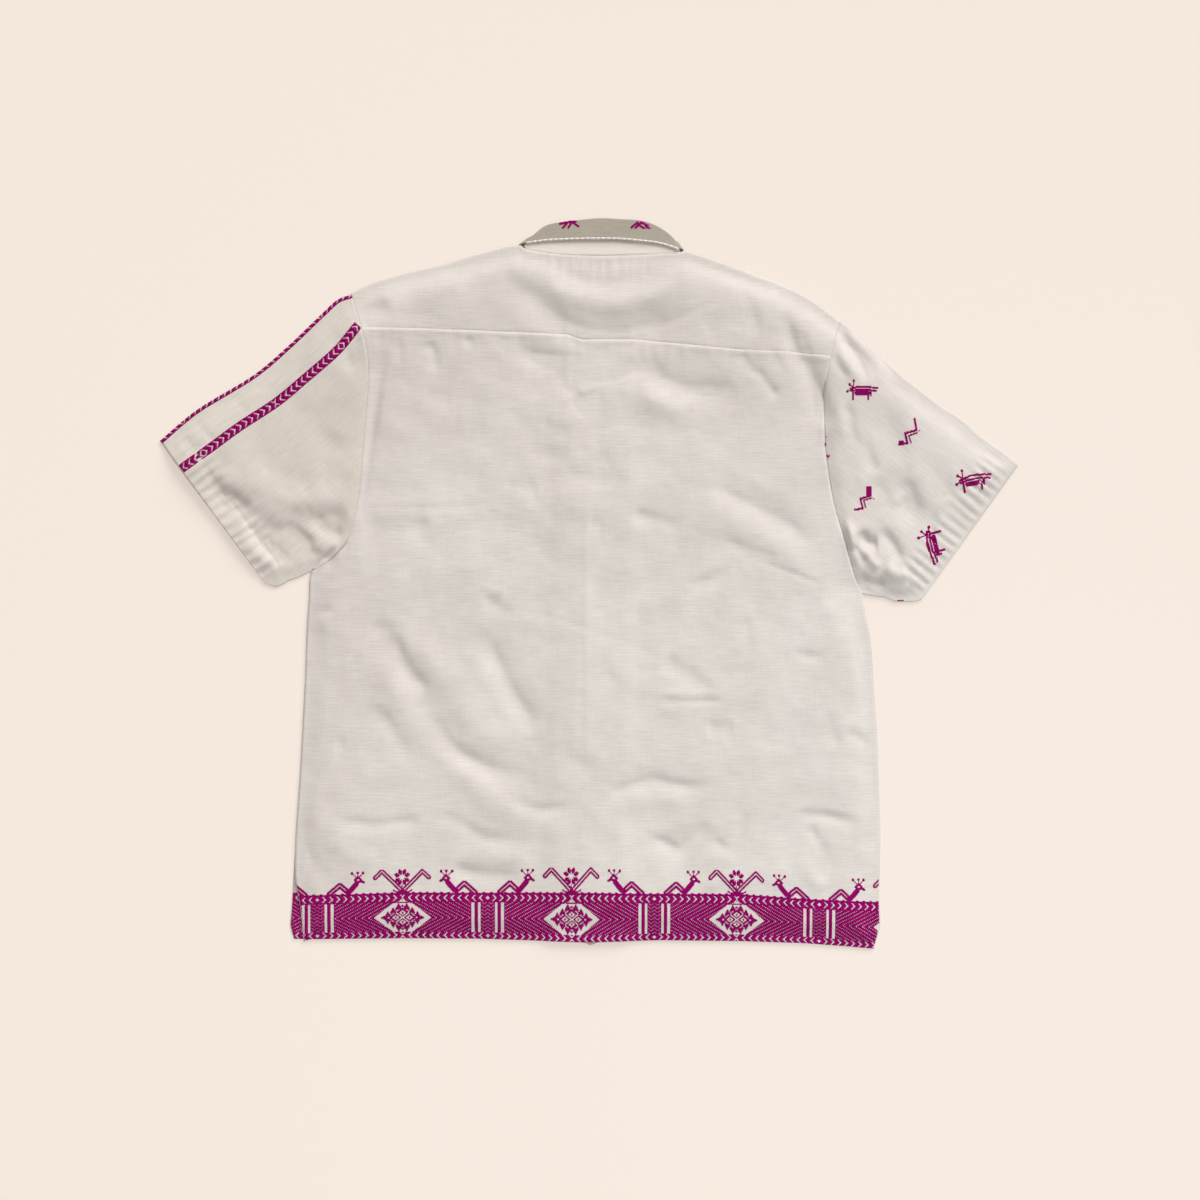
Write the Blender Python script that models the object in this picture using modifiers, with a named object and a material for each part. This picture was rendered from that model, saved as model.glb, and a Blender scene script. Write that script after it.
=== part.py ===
"""Boxy short-sleeved camp shirt in hand-woven cloth, laid flat with its back up.

The model is in metres with +Z up. It rests on z = 0 with its fronts down and its collar toward +Y.
The tables below are in millimetres, each place as (x, y) on the resting surface.
"""
import math

import bmesh
import bpy
from mathutils import Vector

MM = 0.001
WALL = 1.2
SEAM_GAP = 0.3
LAYER = WALL + SEAM_GAP
FOLD_RADIUS = (2.0 * WALL + SEAM_GAP) / 2.0
PUFF = 2.2
PUFF_REACH = 45.0
EDGE_FADE = (4.0, 20.0)

# Centre front line, from the neck to the hem, and the steps of the fronts beside it
CENTRE_NECK = (11.0, 261.5)
CENTRE_HEM = (-2.0, -361.5)
LAP_FLAT = 26.0
LAP_RAMP = 50.0
NECK_FADE = 60.0

BUTTON_RADIUS = 5.5
BUTTON_HEIGHT = 1.9
BUTTON_CLEARANCE = 0.3
BUTTON_FLAT = 10.0
BUTTON_RAMP = 28.0
BUTTON_FIRST = 30.0
BUTTON_PITCH = 106.0
BUTTON_COUNT = 5
BUTTON_HOLE = 0.9
BUTTON_HOLE_PITCH = 1.5

# The fronts are lifted by one layer over the collar points, inside this ellipse
COLLAR_CENTRE = (11.0, 293.5)
COLLAR_HALF = (125.0, 112.0)
COLLAR_RAMP = 1.42

# Armholes, from the shoulder to the underarm, a row for each section of body and sleeve
ARMHOLE_LEFT = [
    (-238.0, 289.5), (-232.8, 272.0), (-227.5, 254.5), (-223.0, 236.5), (-220.5, 213.5),
    (-221.5, 188.5), (-224.5, 156.5), (-227.0, 126.5), (-229.0, 97.5), (-233.0, 71.5),
    (-240.0, 45.5), (-257.0, 25.5), (-277.0, 12.5),
]
ARMHOLE_RIGHT = [
    (251.0, 261.5), (246.0, 243.5), (241.0, 225.5), (237.5, 205.5), (235.5, 183.5),
    (235.0, 160.5), (236.0, 133.5), (240.0, 103.5), (245.0, 77.5), (252.0, 51.5),
    (259.0, 26.5), (266.0, 4.5), (273.0, -10.5),
]
YOKE_ROW = 2

# Side edges of the back below the underarm, with one row for each section
SIDES = [
    ((-277.0, 12.5), (273.0, -10.5)),
    ((-280.0, -16.5), (276.0, -28.5)),
    ((-282.0, -44.5), (280.0, -48.5)),
    ((-283.0, -72.5), (283.0, -74.5)),
    ((-284.0, -100.5), (284.5, -102.5)),
    ((-285.5, -128.5), (286.5, -130.5)),
    ((-287.0, -156.5), (288.3, -158.5)),
    ((-288.5, -184.5), (289.2, -186.5)),
    ((-290.5, -212.5), (290.0, -214.5)),
    ((-292.5, -240.5), (291.0, -242.5)),
    ((-293.8, -268.5), (291.0, -270.5)),
    ((-293.5, -296.5), (290.0, -298.5)),
    ((-289.5, -316.5), (290.0, -318.5)),
    ((-287.0, -336.5), (291.0, -340.5)),
    ((-285.0, -357.5), (284.6, -365.1)),
]

# Rows of the back that follow the curve of its hem and of its yoke seam
HEM_ROWS = 10
SEAM_ROWS = 12

# Hem of the back, from left to right
HEM = [
    (-285.0, -357.5), (-279.0, -355.5), (-187.0, -354.5), (-109.0, -355.0), (-3.0, -358.5),
    (71.0, -356.5), (154.0, -357.5), (215.0, -359.5), (256.0, -362.5), (284.6, -365.1),
]

# Seam between back and yoke, from left to right
YOKE_SEAM = [
    (-227.5, 254.5), (-172.0, 253.5), (-122.0, 251.5), (-22.0, 247.5), (-7.0, 242.5),
    (47.0, 242.5), (97.0, 237.5), (155.0, 232.0), (201.0, 230.5), (241.0, 225.5),
]

# Columns of the yoke: place on the shoulder fold or back neck, then the same column on the yoke seam
YOKE_COLUMNS = [
    ((-238.0, 289.5), -227.5),
    ((-227.0, 295.5), -212.5),
    ((-213.0, 301.5), -197.5),
    ((-193.0, 307.5), -179.0),
    ((-171.0, 313.5), -160.0),
    ((-145.0, 319.5), -139.0),
    ((-124.0, 325.5), -119.0),
    ((-101.0, 331.5), -97.0),
    ((-84.0, 336.0), -78.0),
    ((-69.0, 338.7), -60.0),
    ((-62.0, 334.0), -48.0),
    ((-44.0, 331.0), -32.0),
    ((-26.0, 329.0), -16.0),
    ((-7.0, 327.8), -1.0),
    ((11.0, 327.5), 14.0),
    ((29.0, 327.8), 29.0),
    ((48.0, 328.5), 44.0),
    ((66.0, 329.5), 59.0),
    ((83.0, 330.7), 74.0),
    ((97.0, 332.0), 87.0),
    ((117.0, 325.5), 107.0),
    ((134.0, 319.5), 127.0),
    ((153.0, 313.5), 147.0),
    ((170.0, 307.5), 166.0),
    ((186.0, 301.5), 183.0),
    ((199.0, 295.5), 198.0),
    ((211.0, 289.5), 212.0),
    ((229.0, 278.5), 225.0),
    ((251.0, 261.5), 241.0),
]
NECK_LEFT = 9
NECK_RIGHT = 19
YOKE_BACK_ROWS = 7
YOKE_TURN_ROWS = 4
YOKE_FRONT_ROWS = 2
YOKE_WRAP = 28.0
YOKE_WRAP_SHIFT = ((-229.6, 261.5), (-64.0, 310.7), (92.0, 304.0), (243.2, 233.5))

# Fronts: outer edge and inner edge of each row, from the shoulder down to the hem
FRONT_LEFT = [
    ((-229.6, 261.2), (-64.0, 310.4)),
    ((-227.5, 254.5), (-61.0, 305.5)),
    ((-223.0, 236.5), (-53.0, 293.5)),
    ((-220.5, 213.5), (-39.0, 279.5)),
    ((-221.5, 188.5), (-17.0, 266.0)),
    ((-224.5, 156.5), (26.0, 259.0)),
    ((-227.0, 126.5), (25.5, 208.5)),
    ((-229.0, 97.5), (24.5, 158.5)),
    ((-233.0, 71.5), (23.5, 113.5)),
    ((-240.0, 45.5), (22.5, 71.5)),
    ((-257.0, 25.5), (22.0, 35.5)),
    ((-277.0, 12.5), (21.5, 5.5)),
    ((-280.0, -16.5), (20.8, -22.5)),
    ((-282.0, -44.5), (20.2, -50.5)),
    ((-284.0, -100.5), (19.0, -106.5)),
    ((-287.0, -156.5), (17.7, -161.5)),
    ((-290.5, -212.5), (16.4, -216.5)),
    ((-294.0, -268.5), (15.1, -271.5)),
    ((-297.0, -319.5), (14.1, -321.5)),
    ((-298.5, -341.5), (13.4, -344.5)),
    ((-295.0, -355.0), (13.0, -362.0)),
]
FRONT_RIGHT = [
    ((243.2, 233.2), (92.0, 303.7)),
    ((241.0, 225.5), (89.0, 300.5)),
    ((237.5, 205.5), (83.0, 293.5)),
    ((235.5, 183.5), (68.0, 279.5)),
    ((235.0, 160.5), (44.0, 265.0)),
    ((236.0, 133.5), (-4.0, 259.0)),
    ((240.0, 103.5), (-5.0, 208.5)),
    ((245.0, 77.5), (-6.0, 158.5)),
    ((252.0, 51.5), (-7.0, 113.5)),
    ((259.0, 26.5), (-8.0, 71.5)),
    ((266.0, 4.5), (-8.7, 35.5)),
    ((273.0, -10.5), (-9.2, 5.5)),
    ((276.0, -28.5), (-9.8, -22.5)),
    ((280.0, -48.5), (-10.4, -50.5)),
    ((284.5, -102.5), (-11.5, -106.5)),
    ((288.3, -158.5), (-12.8, -161.5)),
    ((290.0, -214.5), (-14.0, -216.5)),
    ((291.0, -270.5), (-15.2, -271.5)),
    ((290.0, -318.5), (-16.3, -321.5)),
    ((291.0, -340.5), (-16.7, -344.5)),
    ((283.5, -362.0), (-17.0, -361.5)),
]
FRONT_COLUMNS = [0.0, 0.12, 0.24, 0.36, 0.48, 0.6, 0.7, 0.78, 0.85, 0.905, 0.95, 1.0]

# Sleeves: top edge and underarm edge of each section, from the armhole to the cuff
SLEEVE_LEFT = [
    ((-238.0, 289.5), (-277.0, 12.5)),
    ((-252.0, 283.5), (-281.0, 10.5)),
    ((-268.0, 268.5), (-285.0, 8.5)),
    ((-284.0, 253.5), (-289.0, 6.5)),
    ((-299.0, 238.5), (-293.0, 5.0)),
    ((-316.0, 223.5), (-297.0, 3.5)),
    ((-335.0, 208.5), (-301.0, 2.0)),
    ((-360.0, 193.5), (-305.0, -0.5)),
    ((-385.0, 178.5), (-309.0, -2.5)),
    ((-406.0, 162.5), (-314.0, -3.5)),
    ((-429.0, 142.5), (-323.0, -0.5)),
]
SLEEVE_RIGHT = [
    ((251.0, 261.5), (273.0, -10.5)),
    ((262.0, 253.5), (278.0, -11.5)),
    ((279.0, 238.5), (283.0, -12.5)),
    ((295.0, 223.5), (289.0, -13.5)),
    ((311.0, 208.5), (295.0, -14.0)),
    ((330.0, 193.5), (301.0, -16.5)),
    ((350.0, 178.5), (307.0, -18.5)),
    ((373.0, 163.5), (314.0, -18.5)),
    ((391.0, 147.5), (320.0, -18.5)),
    ((412.0, 132.5), (326.0, -18.0)),
    ((429.0, 118.5), (332.0, -16.5)),
]
ARMHOLE_BOW_SECTIONS = 4.0
SLEEVE_SECTIONS = 14

# Collar: seam to the neck, roll, outer edge, turn and rise of the outer edge.
# Turn is -90 on the fronts and 90 on the back, with the fold of the flattened ring between them.
COLLAR = [
    ((9.0, 263.5), (8.0, 272.5), (-32.0, 207.5), -90, 0.0),
    ((-3.0, 265.0), (-1.0, 276.5), (-41.0, 218.5), -90, 0.0),
    ((-17.0, 270.0), (-13.0, 281.5), (-55.0, 230.5), -90, 0.0),
    ((-33.0, 279.0), (-27.0, 290.5), (-70.0, 249.5), -90, 0.0),
    ((-46.0, 291.5), (-38.0, 302.5), (-81.0, 270.5), -90, 0.0),
    ((-56.0, 306.5), (-48.0, 317.5), (-87.0, 292.5), -90, 0.0),
    ((-62.0, 321.5), (-55.0, 331.5), (-86.0, 314.5), -90, 0.0),
    ((-64.5, 335.0), (-60.0, 342.5), (-73.0, 338.0), -90, 0.0),
    ((-64.5, 335.5), (-60.0, 343.0), (-71.0, 340.5), -45, 0.0),
    ((-64.5, 336.0), (-60.0, 343.5), (-70.0, 341.5), 0, 0.0),
    ((-63.0, 335.5), (-59.0, 344.5), (-68.0, 340.5), 45, 0.5),
    ((-59.0, 334.0), (-55.0, 348.0), (-62.0, 340.0), 90, 1.5),
    ((-44.0, 331.5), (-43.0, 357.0), (-45.0, 340.5), 90, 4.0),
    ((-28.0, 329.5), (-28.0, 360.5), (-28.0, 340.5), 90, 5.5),
    ((-9.0, 328.3), (-9.0, 362.7), (-9.0, 340.5), 90, 6.3),
    ((11.0, 328.0), (11.0, 364.5), (11.0, 340.5), 90, 6.6),
    ((31.0, 328.3), (31.0, 363.5), (31.0, 340.0), 90, 6.3),
    ((51.0, 329.0), (52.0, 362.0), (52.0, 339.0), 90, 5.5),
    ((68.0, 330.0), (67.0, 357.0), (68.0, 337.5), 90, 4.0),
    ((82.0, 331.0), (80.0, 348.5), (83.0, 335.5), 90, 2.0),
    ((88.0, 332.5), (85.0, 341.5), (90.0, 334.5), 45, 0.5),
    ((90.0, 332.5), (87.0, 340.0), (94.0, 335.0), 0, 0.0),
    ((90.3, 332.0), (87.0, 339.5), (95.0, 334.0), -45, 0.0),
    ((90.5, 331.5), (87.0, 339.0), (97.0, 331.5), -90, 0.0),
    ((86.0, 318.5), (79.0, 328.5), (109.0, 310.5), -90, 0.0),
    ((80.0, 303.5), (71.0, 314.5), (110.0, 289.5), -90, 0.0),
    ((70.0, 289.5), (61.0, 300.5), (104.0, 268.5), -90, 0.0),
    ((57.0, 278.0), (50.0, 289.5), (93.0, 247.5), -90, 0.0),
    ((43.0, 270.0), (38.0, 280.5), (78.0, 229.5), -90, 0.0),
    ((29.0, 265.0), (27.0, 275.5), (64.0, 218.5), -90, 0.0),
    ((17.0, 263.3), (18.0, 272.0), (56.0, 207.5), -90, 0.0),
]
COLLAR_STAND = {"seam": 0.0, "stand": 0.45, "stand top": 0.85}
COLLAR_ROLL = [-90, -45, 0, 45, 90]
COLLAR_FALL = {"fall top": 0.12, "fall": 0.4, "fall low": 0.7, "edge": 1.0}
COLLAR_PROFILE = [*COLLAR_STAND, *COLLAR_ROLL, *COLLAR_FALL]
COLLAR_CURL = 1.15
COLLAR_OUT = (0.9, 0.44)

# Silhouette of the laid shirt, for the soft rise of the cloth inside its edges
SILHOUETTE = (
    [top for top, _ in SLEEVE_LEFT][::-1]
    + [place for place, _ in YOKE_COLUMNS][1:-1]
    + [top for top, _ in SLEEVE_RIGHT]
    + [under for _, under in SLEEVE_RIGHT][::-1]
    + [right for _, right in SIDES][1:]
    + HEM[-2::-1]
    + [left for left, _ in SIDES][-2::-1]
    + [under for _, under in SLEEVE_LEFT][1:]
)

# Soft folds that the cloth has settled into: places, height (troughs below zero), half-width
FOLDS = [
    ([(-34.0, 293.5), (20.0, 282.5), (86.0, 297.5)], 1.8, 17.0),
    ([(-64.0, 301.5), (-34.0, 266.5), (-3.0, 249.5), (43.0, 251.5), (82.0, 282.5)], -1.2, 14.0),
    ([(-72.0, 235.5), (-34.0, 222.5), (20.0, 212.5), (47.0, 218.5)], -1.5, 15.0),
    ([(28.0, 201.5), (59.0, 182.5), (97.0, 170.5)], 1.8, 17.0),
    ([(66.0, 216.5), (78.0, 197.5), (112.0, 191.5), (151.0, 189.5)], -1.3, 14.0),
    ([(209.0, 224.5), (228.0, 201.5), (223.0, 162.5), (229.0, 112.5), (243.0, 58.5)], -1.5, 15.0),
    ([(-205.0, 232.5), (-209.0, 189.5), (-213.0, 143.5), (-217.0, 97.5), (-227.0, 51.5)], -1.5, 15.0),
    ([(-222.0, 74.5), (-134.0, 72.5), (-80.0, 80.5), (51.0, 83.5)], 1.2, 14.0),
    ([(120.0, 101.5), (159.0, 82.5), (193.0, 62.5), (224.0, 35.5)], -1.7, 15.0),
    ([(111.0, 77.5), (151.0, 57.5), (186.0, 37.5), (219.0, 11.5)], 2.0, 16.0),
    (
        [(-221.0, -41.5), (-192.0, -73.5), (-162.0, -102.5), (-158.0, -135.5), (-125.0, -168.5), (-71.0, -189.5)],
        -1.7,
        15.0,
    ),
    ([(-194.0, -51.5), (-156.0, -83.5), (-129.0, -116.5), (-114.0, -146.5), (-79.0, -166.5)], 2.2, 17.0),
    ([(-100.0, -52.5), (-83.0, -93.5), (-67.0, -118.5), (-54.0, -148.5)], -1.5, 15.0),
    ([(-8.0, 123.5), (-7.0, -16.5), (-6.0, -176.5), (-8.0, -266.5)], 0.9, 14.0),
    ([(21.0, -210.5), (50.0, -198.5), (83.0, -196.5), (125.0, -200.5)], -1.2, 13.0),
    ([(54.0, -252.5), (88.0, -264.5), (121.0, -239.5)], -1.3, 13.0),
    ([(92.0, -4.5), (138.0, 6.5), (158.0, 22.5)], 1.3, 15.0),
    ([(233.0, -18.5), (256.0, -66.5), (273.0, -123.5)], 1.6, 15.0),
    ([(-334.0, 53.5), (-319.0, 38.5), (-301.0, 23.5)], -1.3, 14.0),
    ([(-369.0, 113.5), (-349.0, 103.5), (-327.0, 91.5)], 1.7, 15.0),
    ([(-267.0, 66.5), (-262.0, 56.5), (-249.0, 51.5)], -1.2, 13.0),
    ([(256.0, 248.5), (267.0, 233.5), (279.0, 211.5)], -1.3, 13.0),
    ([(264.0, 61.5), (268.0, 43.5), (274.0, 21.5)], 2.2, 14.0),
    ([(311.0, 98.5), (321.0, 76.5), (333.0, 63.5)], -1.3, 14.0),
]
FOLD_CLEARANCE = 0.3
FOLD_SPREAD = 1.7
FOLD_END = 0.25
FOLD_BLUNT = 0.1

# Each layer bridges the steps of the one below it by this much on each side
BRIDGE = 10.0

# Share of each step of the fronts that the air under the upper layer takes up
SETTLE = 0.5


def smooth(low, high, value):
    """Soft step from 0 at low to 1 at high."""
    t = min(max((value - low) / (high - low), 0.0), 1.0)
    return t * t * (3.0 - 2.0 * t)


def along(points, t):
    """Place at row number t of a table, straight between its rows."""
    i = min(max(int(t), 0), len(points) - 2)
    (ax, ay), (bx, by) = points[i], points[i + 1]
    return ax + (bx - ax) * (t - i), ay + (by - ay) * (t - i)


def height_at(points, x):
    """The y of a table of places sorted by x."""
    for (ax, ay), (bx, by) in zip(points, points[1:]):
        if x <= bx:
            return ay + (by - ay) * (x - ax) / (bx - ax)
    return points[-1][1]


def distance(points, x, y):
    """Least distance from a place to a line of places, with the share of the line passed there."""
    nearest, share = 1e9, 0.0
    count = len(points) - 1
    for i in range(count):
        (ax, ay), (bx, by) = points[i], points[i + 1]
        dx, dy = bx - ax, by - ay
        t = ((x - ax) * dx + (y - ay) * dy) / (dx * dx + dy * dy)
        t = min(max(t, 0.0), 1.0)
        gap = math.hypot(x - ax - dx * t, y - ay - dy * t)
        if gap < nearest:
            nearest, share = gap, (i + t) / count
    return nearest, share


def centre_x(y):
    """The x of the centre front line."""
    (ax, ay), (bx, by) = CENTRE_NECK, CENTRE_HEM
    return ax + (bx - ax) * (y - ay) / (by - ay)


def collar_rise(x, y):
    """Share of the lift over the collar points."""
    across = (x - COLLAR_CENTRE[0]) / COLLAR_HALF[0]
    down = (y - COLLAR_CENTRE[1]) / COLLAR_HALF[1]
    return 1.0 - smooth(1.0, COLLAR_RAMP, math.hypot(across, down))


def under_left(x, y):
    """Height of the underside of the left front, which laps outermost and holds the buttons."""
    buttons = 1.0 - smooth(BUTTON_FLAT, BUTTON_RAMP, abs(x - centre_x(y)))
    neck = smooth(CENTRE_NECK[1] + NECK_FADE, CENTRE_NECK[1], y)
    return max(LAYER * collar_rise(x, y), (BUTTON_HEIGHT + 2.0 * BUTTON_CLEARANCE) * buttons * neck)


def under_right(x, y):
    """Height of the underside of the right front, which lies on the left one in the lap."""
    lap = 1.0 - smooth(LAP_FLAT, LAP_RAMP, abs(x - centre_x(y)))
    neck = smooth(CENTRE_NECK[1] + NECK_FADE, CENTRE_NECK[1], y)
    lower = max(under_left(x + across, y) for across in (-BRIDGE, 0.0, BRIDGE))
    return lower + LAYER * lap * neck


def puff(x, y):
    """Air under the upper layer, none at the edges of the laid shirt."""
    return PUFF * smooth(0.0, PUFF_REACH, distance(SILHOUETTE, x, y)[0])


def folds(x, y):
    """Sum of the settled folds at a place."""
    total = 0.0
    for points, height, half_width in FOLDS:
        gap, share = distance(points, x, y)
        if gap < FOLD_SPREAD * half_width:
            fade = smooth(0.0, FOLD_END, min(share, 1.0 - share) + FOLD_BLUNT)
            total += height * fade * (1.0 - smooth(0.0, FOLD_SPREAD * half_width, gap))
    return total


def cover(x, y):
    """Height of the underside of the upper layer: back, yoke and sleeve tops."""
    edge = smooth(*EDGE_FADE, distance(SILHOUETTE, x, y)[0])
    step = BRIDGE * edge
    around = ((0, 0), (-BRIDGE, 0), (BRIDGE, 0), (0, -step), (0, step))
    fronts = max(under_right(x + across, y + down) for across, down in around)
    air = puff(x, y) - SETTLE * fronts
    return fronts + LAYER + max(air, 0.0) + edge * max(folds(x, y), FOLD_CLEARANCE - max(air, 0.0))


def material(name, colour, roughness):
    made = bpy.data.materials.new(name)
    made.use_nodes = True
    shader = made.node_tree.nodes["Principled BSDF"]
    shader.inputs["Base Color"].default_value = (*colour, 1.0)
    shader.inputs["Roughness"].default_value = roughness
    shader.inputs["Metallic"].default_value = 0.0
    made.diffuse_color = (*colour, 1.0)
    return made


def cloth_material():
    return material("hand_woven_cloth", (0.60, 0.545, 0.50), 0.92)


def collar_material():
    return material("collar_cloth", (0.50, 0.45, 0.37), 0.92)


def button_material():
    return material("button_resin", (0.78, 0.74, 0.66), 0.35)


def sheet(name, columns, rows, place, finish, collection, offset, gone=None, closed=False):
    """A cloth wall on a grid of columns and rows, each vertex put at place(column, row) in millimetres."""
    mesh = bpy.data.meshes.new(name)
    grid = bmesh.new()
    bmesh.ops.create_grid(grid, x_segments=columns, y_segments=rows, size=0.5)
    slots = {}
    for vertex in grid.verts:
        column = round((vertex.co.x + 0.5) * columns)
        row = round((vertex.co.y + 0.5) * rows)
        slots[vertex] = (column, row)
    if gone:
        faces = [face for face in grid.faces if all(gone(*slots[vertex]) for vertex in face.verts)]
        bmesh.ops.delete(grid, geom=faces, context="FACES")
    for vertex in grid.verts:
        vertex.co = Vector(place(*slots[vertex])) * MM
    if closed:
        bmesh.ops.remove_doubles(grid, verts=grid.verts[:], dist=1e-6)
    for face in grid.faces:
        face.smooth = True
    grid.to_mesh(mesh)
    grid.free()
    mesh.materials.append(finish)
    made = bpy.data.objects.new(name, mesh)
    collection.objects.link(made)
    wall = made.modifiers.new("wall", "SOLIDIFY")
    wall.thickness = WALL * MM
    wall.offset = offset
    wall.use_even_offset = False
    return made


def yoke_seam_place(column):
    """Place of a yoke column on the seam with the back."""
    x = YOKE_COLUMNS[column][1]
    return x, height_at(YOKE_SEAM, x)


def yoke_share(column):
    """Share of the width at which a yoke column, and the same column of the back, stands."""
    left, right = YOKE_COLUMNS[0][1], YOKE_COLUMNS[-1][1]
    return (YOKE_COLUMNS[column][1] - left) / (right - left)


def back_place(column, row):
    """Top side of the back: row 0 at the hem, two rows for each section of the tables."""
    lefts = [left for left, _ in SIDES][::-1] + ARMHOLE_LEFT[-2:YOKE_ROW - 1:-1]
    rights = [right for _, right in SIDES][::-1] + ARMHOLE_RIGHT[-2:YOKE_ROW - 1:-1]
    t = row / 2.0
    (ax, ay), (bx, by) = along(lefts, t), along(rights, t)
    share = yoke_share(column)
    x, y = ax + (bx - ax) * share, ay + (by - ay) * share
    rows = 2 * (len(lefts) - 1)
    hem_part = smooth(HEM_ROWS, 0, row)
    seam_part = smooth(rows - SEAM_ROWS, rows, row)
    if hem_part > 0.0:
        hem_x = HEM[0][0] + (HEM[-1][0] - HEM[0][0]) * share
        hem_y = HEM[0][1] + (HEM[-1][1] - HEM[0][1]) * share
        y += hem_part * (height_at(HEM, hem_x) - hem_y)
    if seam_part > 0.0:
        seam_x, seam_y = yoke_seam_place(column)
        chord = YOKE_SEAM[0][1] + (YOKE_SEAM[-1][1] - YOKE_SEAM[0][1]) * share
        y += seam_part * (seam_y - chord)
    last = len(YOKE_COLUMNS) - 1
    if column == 0:
        x += SEAM_GAP / 2.0
    if column == last:
        x -= SEAM_GAP / 2.0
    if row == rows:
        y -= SEAM_GAP / 2.0
    return x, y, cover(x, y) + WALL


def yoke_front_place(column):
    """Place where a yoke column ends on its front seam."""
    left_outer, left_inner, right_inner, right_outer = YOKE_WRAP_SHIFT
    (x, y), _ = YOKE_COLUMNS[column]
    if column <= NECK_LEFT:
        start, end, first, last = left_outer, left_inner, 0, NECK_LEFT
    else:
        start, end, first, last = right_inner, right_outer, NECK_RIGHT, len(YOKE_COLUMNS) - 1
    share = (x - YOKE_COLUMNS[first][0][0]) / (YOKE_COLUMNS[last][0][0] - YOKE_COLUMNS[first][0][0])
    front_x = start[0] + (end[0] - start[0]) * share
    front_y = y - YOKE_WRAP
    if column in (0, NECK_LEFT, NECK_RIGHT, len(YOKE_COLUMNS) - 1):
        front_y = start[1] + (end[1] - start[1]) * share
    return front_x, front_y


def yoke_place(column, row):
    """Outside of the yoke: up the back, round the shoulder fold and down the front."""
    fold, _ = YOKE_COLUMNS[column]
    seam = yoke_seam_place(column)
    reach = math.hypot(fold[0] - seam[0], fold[1] - seam[1])
    neck = NECK_LEFT < column < NECK_RIGHT
    turn = YOKE_BACK_ROWS + YOKE_TURN_ROWS
    if row <= YOKE_BACK_ROWS:
        inset = SEAM_GAP if neck else FOLD_RADIUS
        share = (row / YOKE_BACK_ROWS) * (1.0 - inset / reach)
        x = seam[0] + (fold[0] - seam[0]) * share
        y = seam[1] + (fold[1] - seam[1]) * share
        if row == 0:
            y += SEAM_GAP / 2.0
        height = cover(x, y) + WALL
    elif row <= turn or neck:
        angle = math.pi / 2.0 - math.pi * (row - YOKE_BACK_ROWS) / YOKE_TURN_ROWS
        inset = FOLD_RADIUS * (1.0 - math.cos(angle))
        x = fold[0] + (seam[0] - fold[0]) * inset / reach
        y = fold[1] + (seam[1] - fold[1]) * inset / reach
        height = under_left(x, y) + FOLD_RADIUS * (1.0 + math.sin(angle))
    else:
        share = (row - turn) / YOKE_FRONT_ROWS
        front = yoke_front_place(column)
        x = fold[0] + (front[0] - fold[0]) * share
        y = fold[1] - FOLD_RADIUS + (front[1] - fold[1] + FOLD_RADIUS) * share
        height = under_left(x, y)
    if column == 0:
        x += SEAM_GAP / 2.0
    if column == len(YOKE_COLUMNS) - 1:
        x -= SEAM_GAP / 2.0
    return x, y, height


def yoke_open(column, row):
    """Whether this part of the yoke's grid is the neck opening."""
    return NECK_LEFT <= column <= NECK_RIGHT and row >= YOKE_BACK_ROWS


def front_place(table, under, side):
    """Underside of a front: side is 1 for the left one, whose inner edge is at its right."""
    rows = 2 * (len(table) - 1)

    def place(column, row):
        t = (rows - row) / 2.0
        outer = along([edge for edge, _ in table], t)
        inner = along([edge for _, edge in table], t)
        share = FRONT_COLUMNS[column if side > 0 else -1 - column]
        x = outer[0] + (inner[0] - outer[0]) * share
        y = outer[1] + (inner[1] - outer[1]) * share
        if share == 0.0:
            x += side * SEAM_GAP / 2.0
        return x, y, under(x, y)

    return place


def sleeve_ring():
    """Slots round a sleeve section: top fold, upper layer, underarm fold, lower layer."""
    inner = range(1, len(ARMHOLE_LEFT) - 1)
    ring = [("top", angle) for angle in (-90, -45, 0, 45, 90)]
    ring += [("upper", row) for row in inner]
    ring += [("under", angle) for angle in (90, 45, 0, -45, -90)]
    ring += [("lower", row) for row in reversed(inner)]
    return ring + ring[:1]


def sleeve_place(table, armhole, side):
    """Outside of a flattened sleeve: side is -1 for the left one, which runs toward -X."""
    ring = sleeve_ring()
    lengths = [0.0]
    for (ax, ay), (bx, by) in zip(armhole, armhole[1:]):
        lengths.append(lengths[-1] + math.hypot(bx - ax, by - ay))

    def place(column, row):
        kind, value = ring[len(ring) - 1 - column] if side < 0 else ring[column]
        t = row * (len(table) - 1) / SLEEVE_SECTIONS
        top = along([edge for edge, _ in table], t)
        under = along([edge for _, edge in table], t)
        across = (under[0] - top[0], under[1] - top[1])
        reach = math.hypot(*across)
        if kind in ("top", "under"):
            angle = math.radians(value)
            inset = FOLD_RADIUS * (1.0 - math.cos(angle)) / reach
            share = inset if kind == "top" else 1.0 - inset
            x, y = top[0] + across[0] * share, top[1] + across[1] * share
            height = FOLD_RADIUS * (1.0 + math.sin(angle))
        else:
            share = lengths[value] / lengths[-1]
            x, y = top[0] + across[0] * share, top[1] + across[1] * share
            bow = max(0.0, 1.0 - t / ARMHOLE_BOW_SECTIONS)
            (ax, ay), (bx, by) = armhole[0], armhole[-1]
            x += bow * (armhole[value][0] - ax - (bx - ax) * share)
            y += bow * (armhole[value][1] - ay - (by - ay) * share)
            height = cover(x, y) + WALL if kind == "upper" else 0.0
        if row == 0:
            x += side * SEAM_GAP
        return x, y, height

    return place


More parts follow.
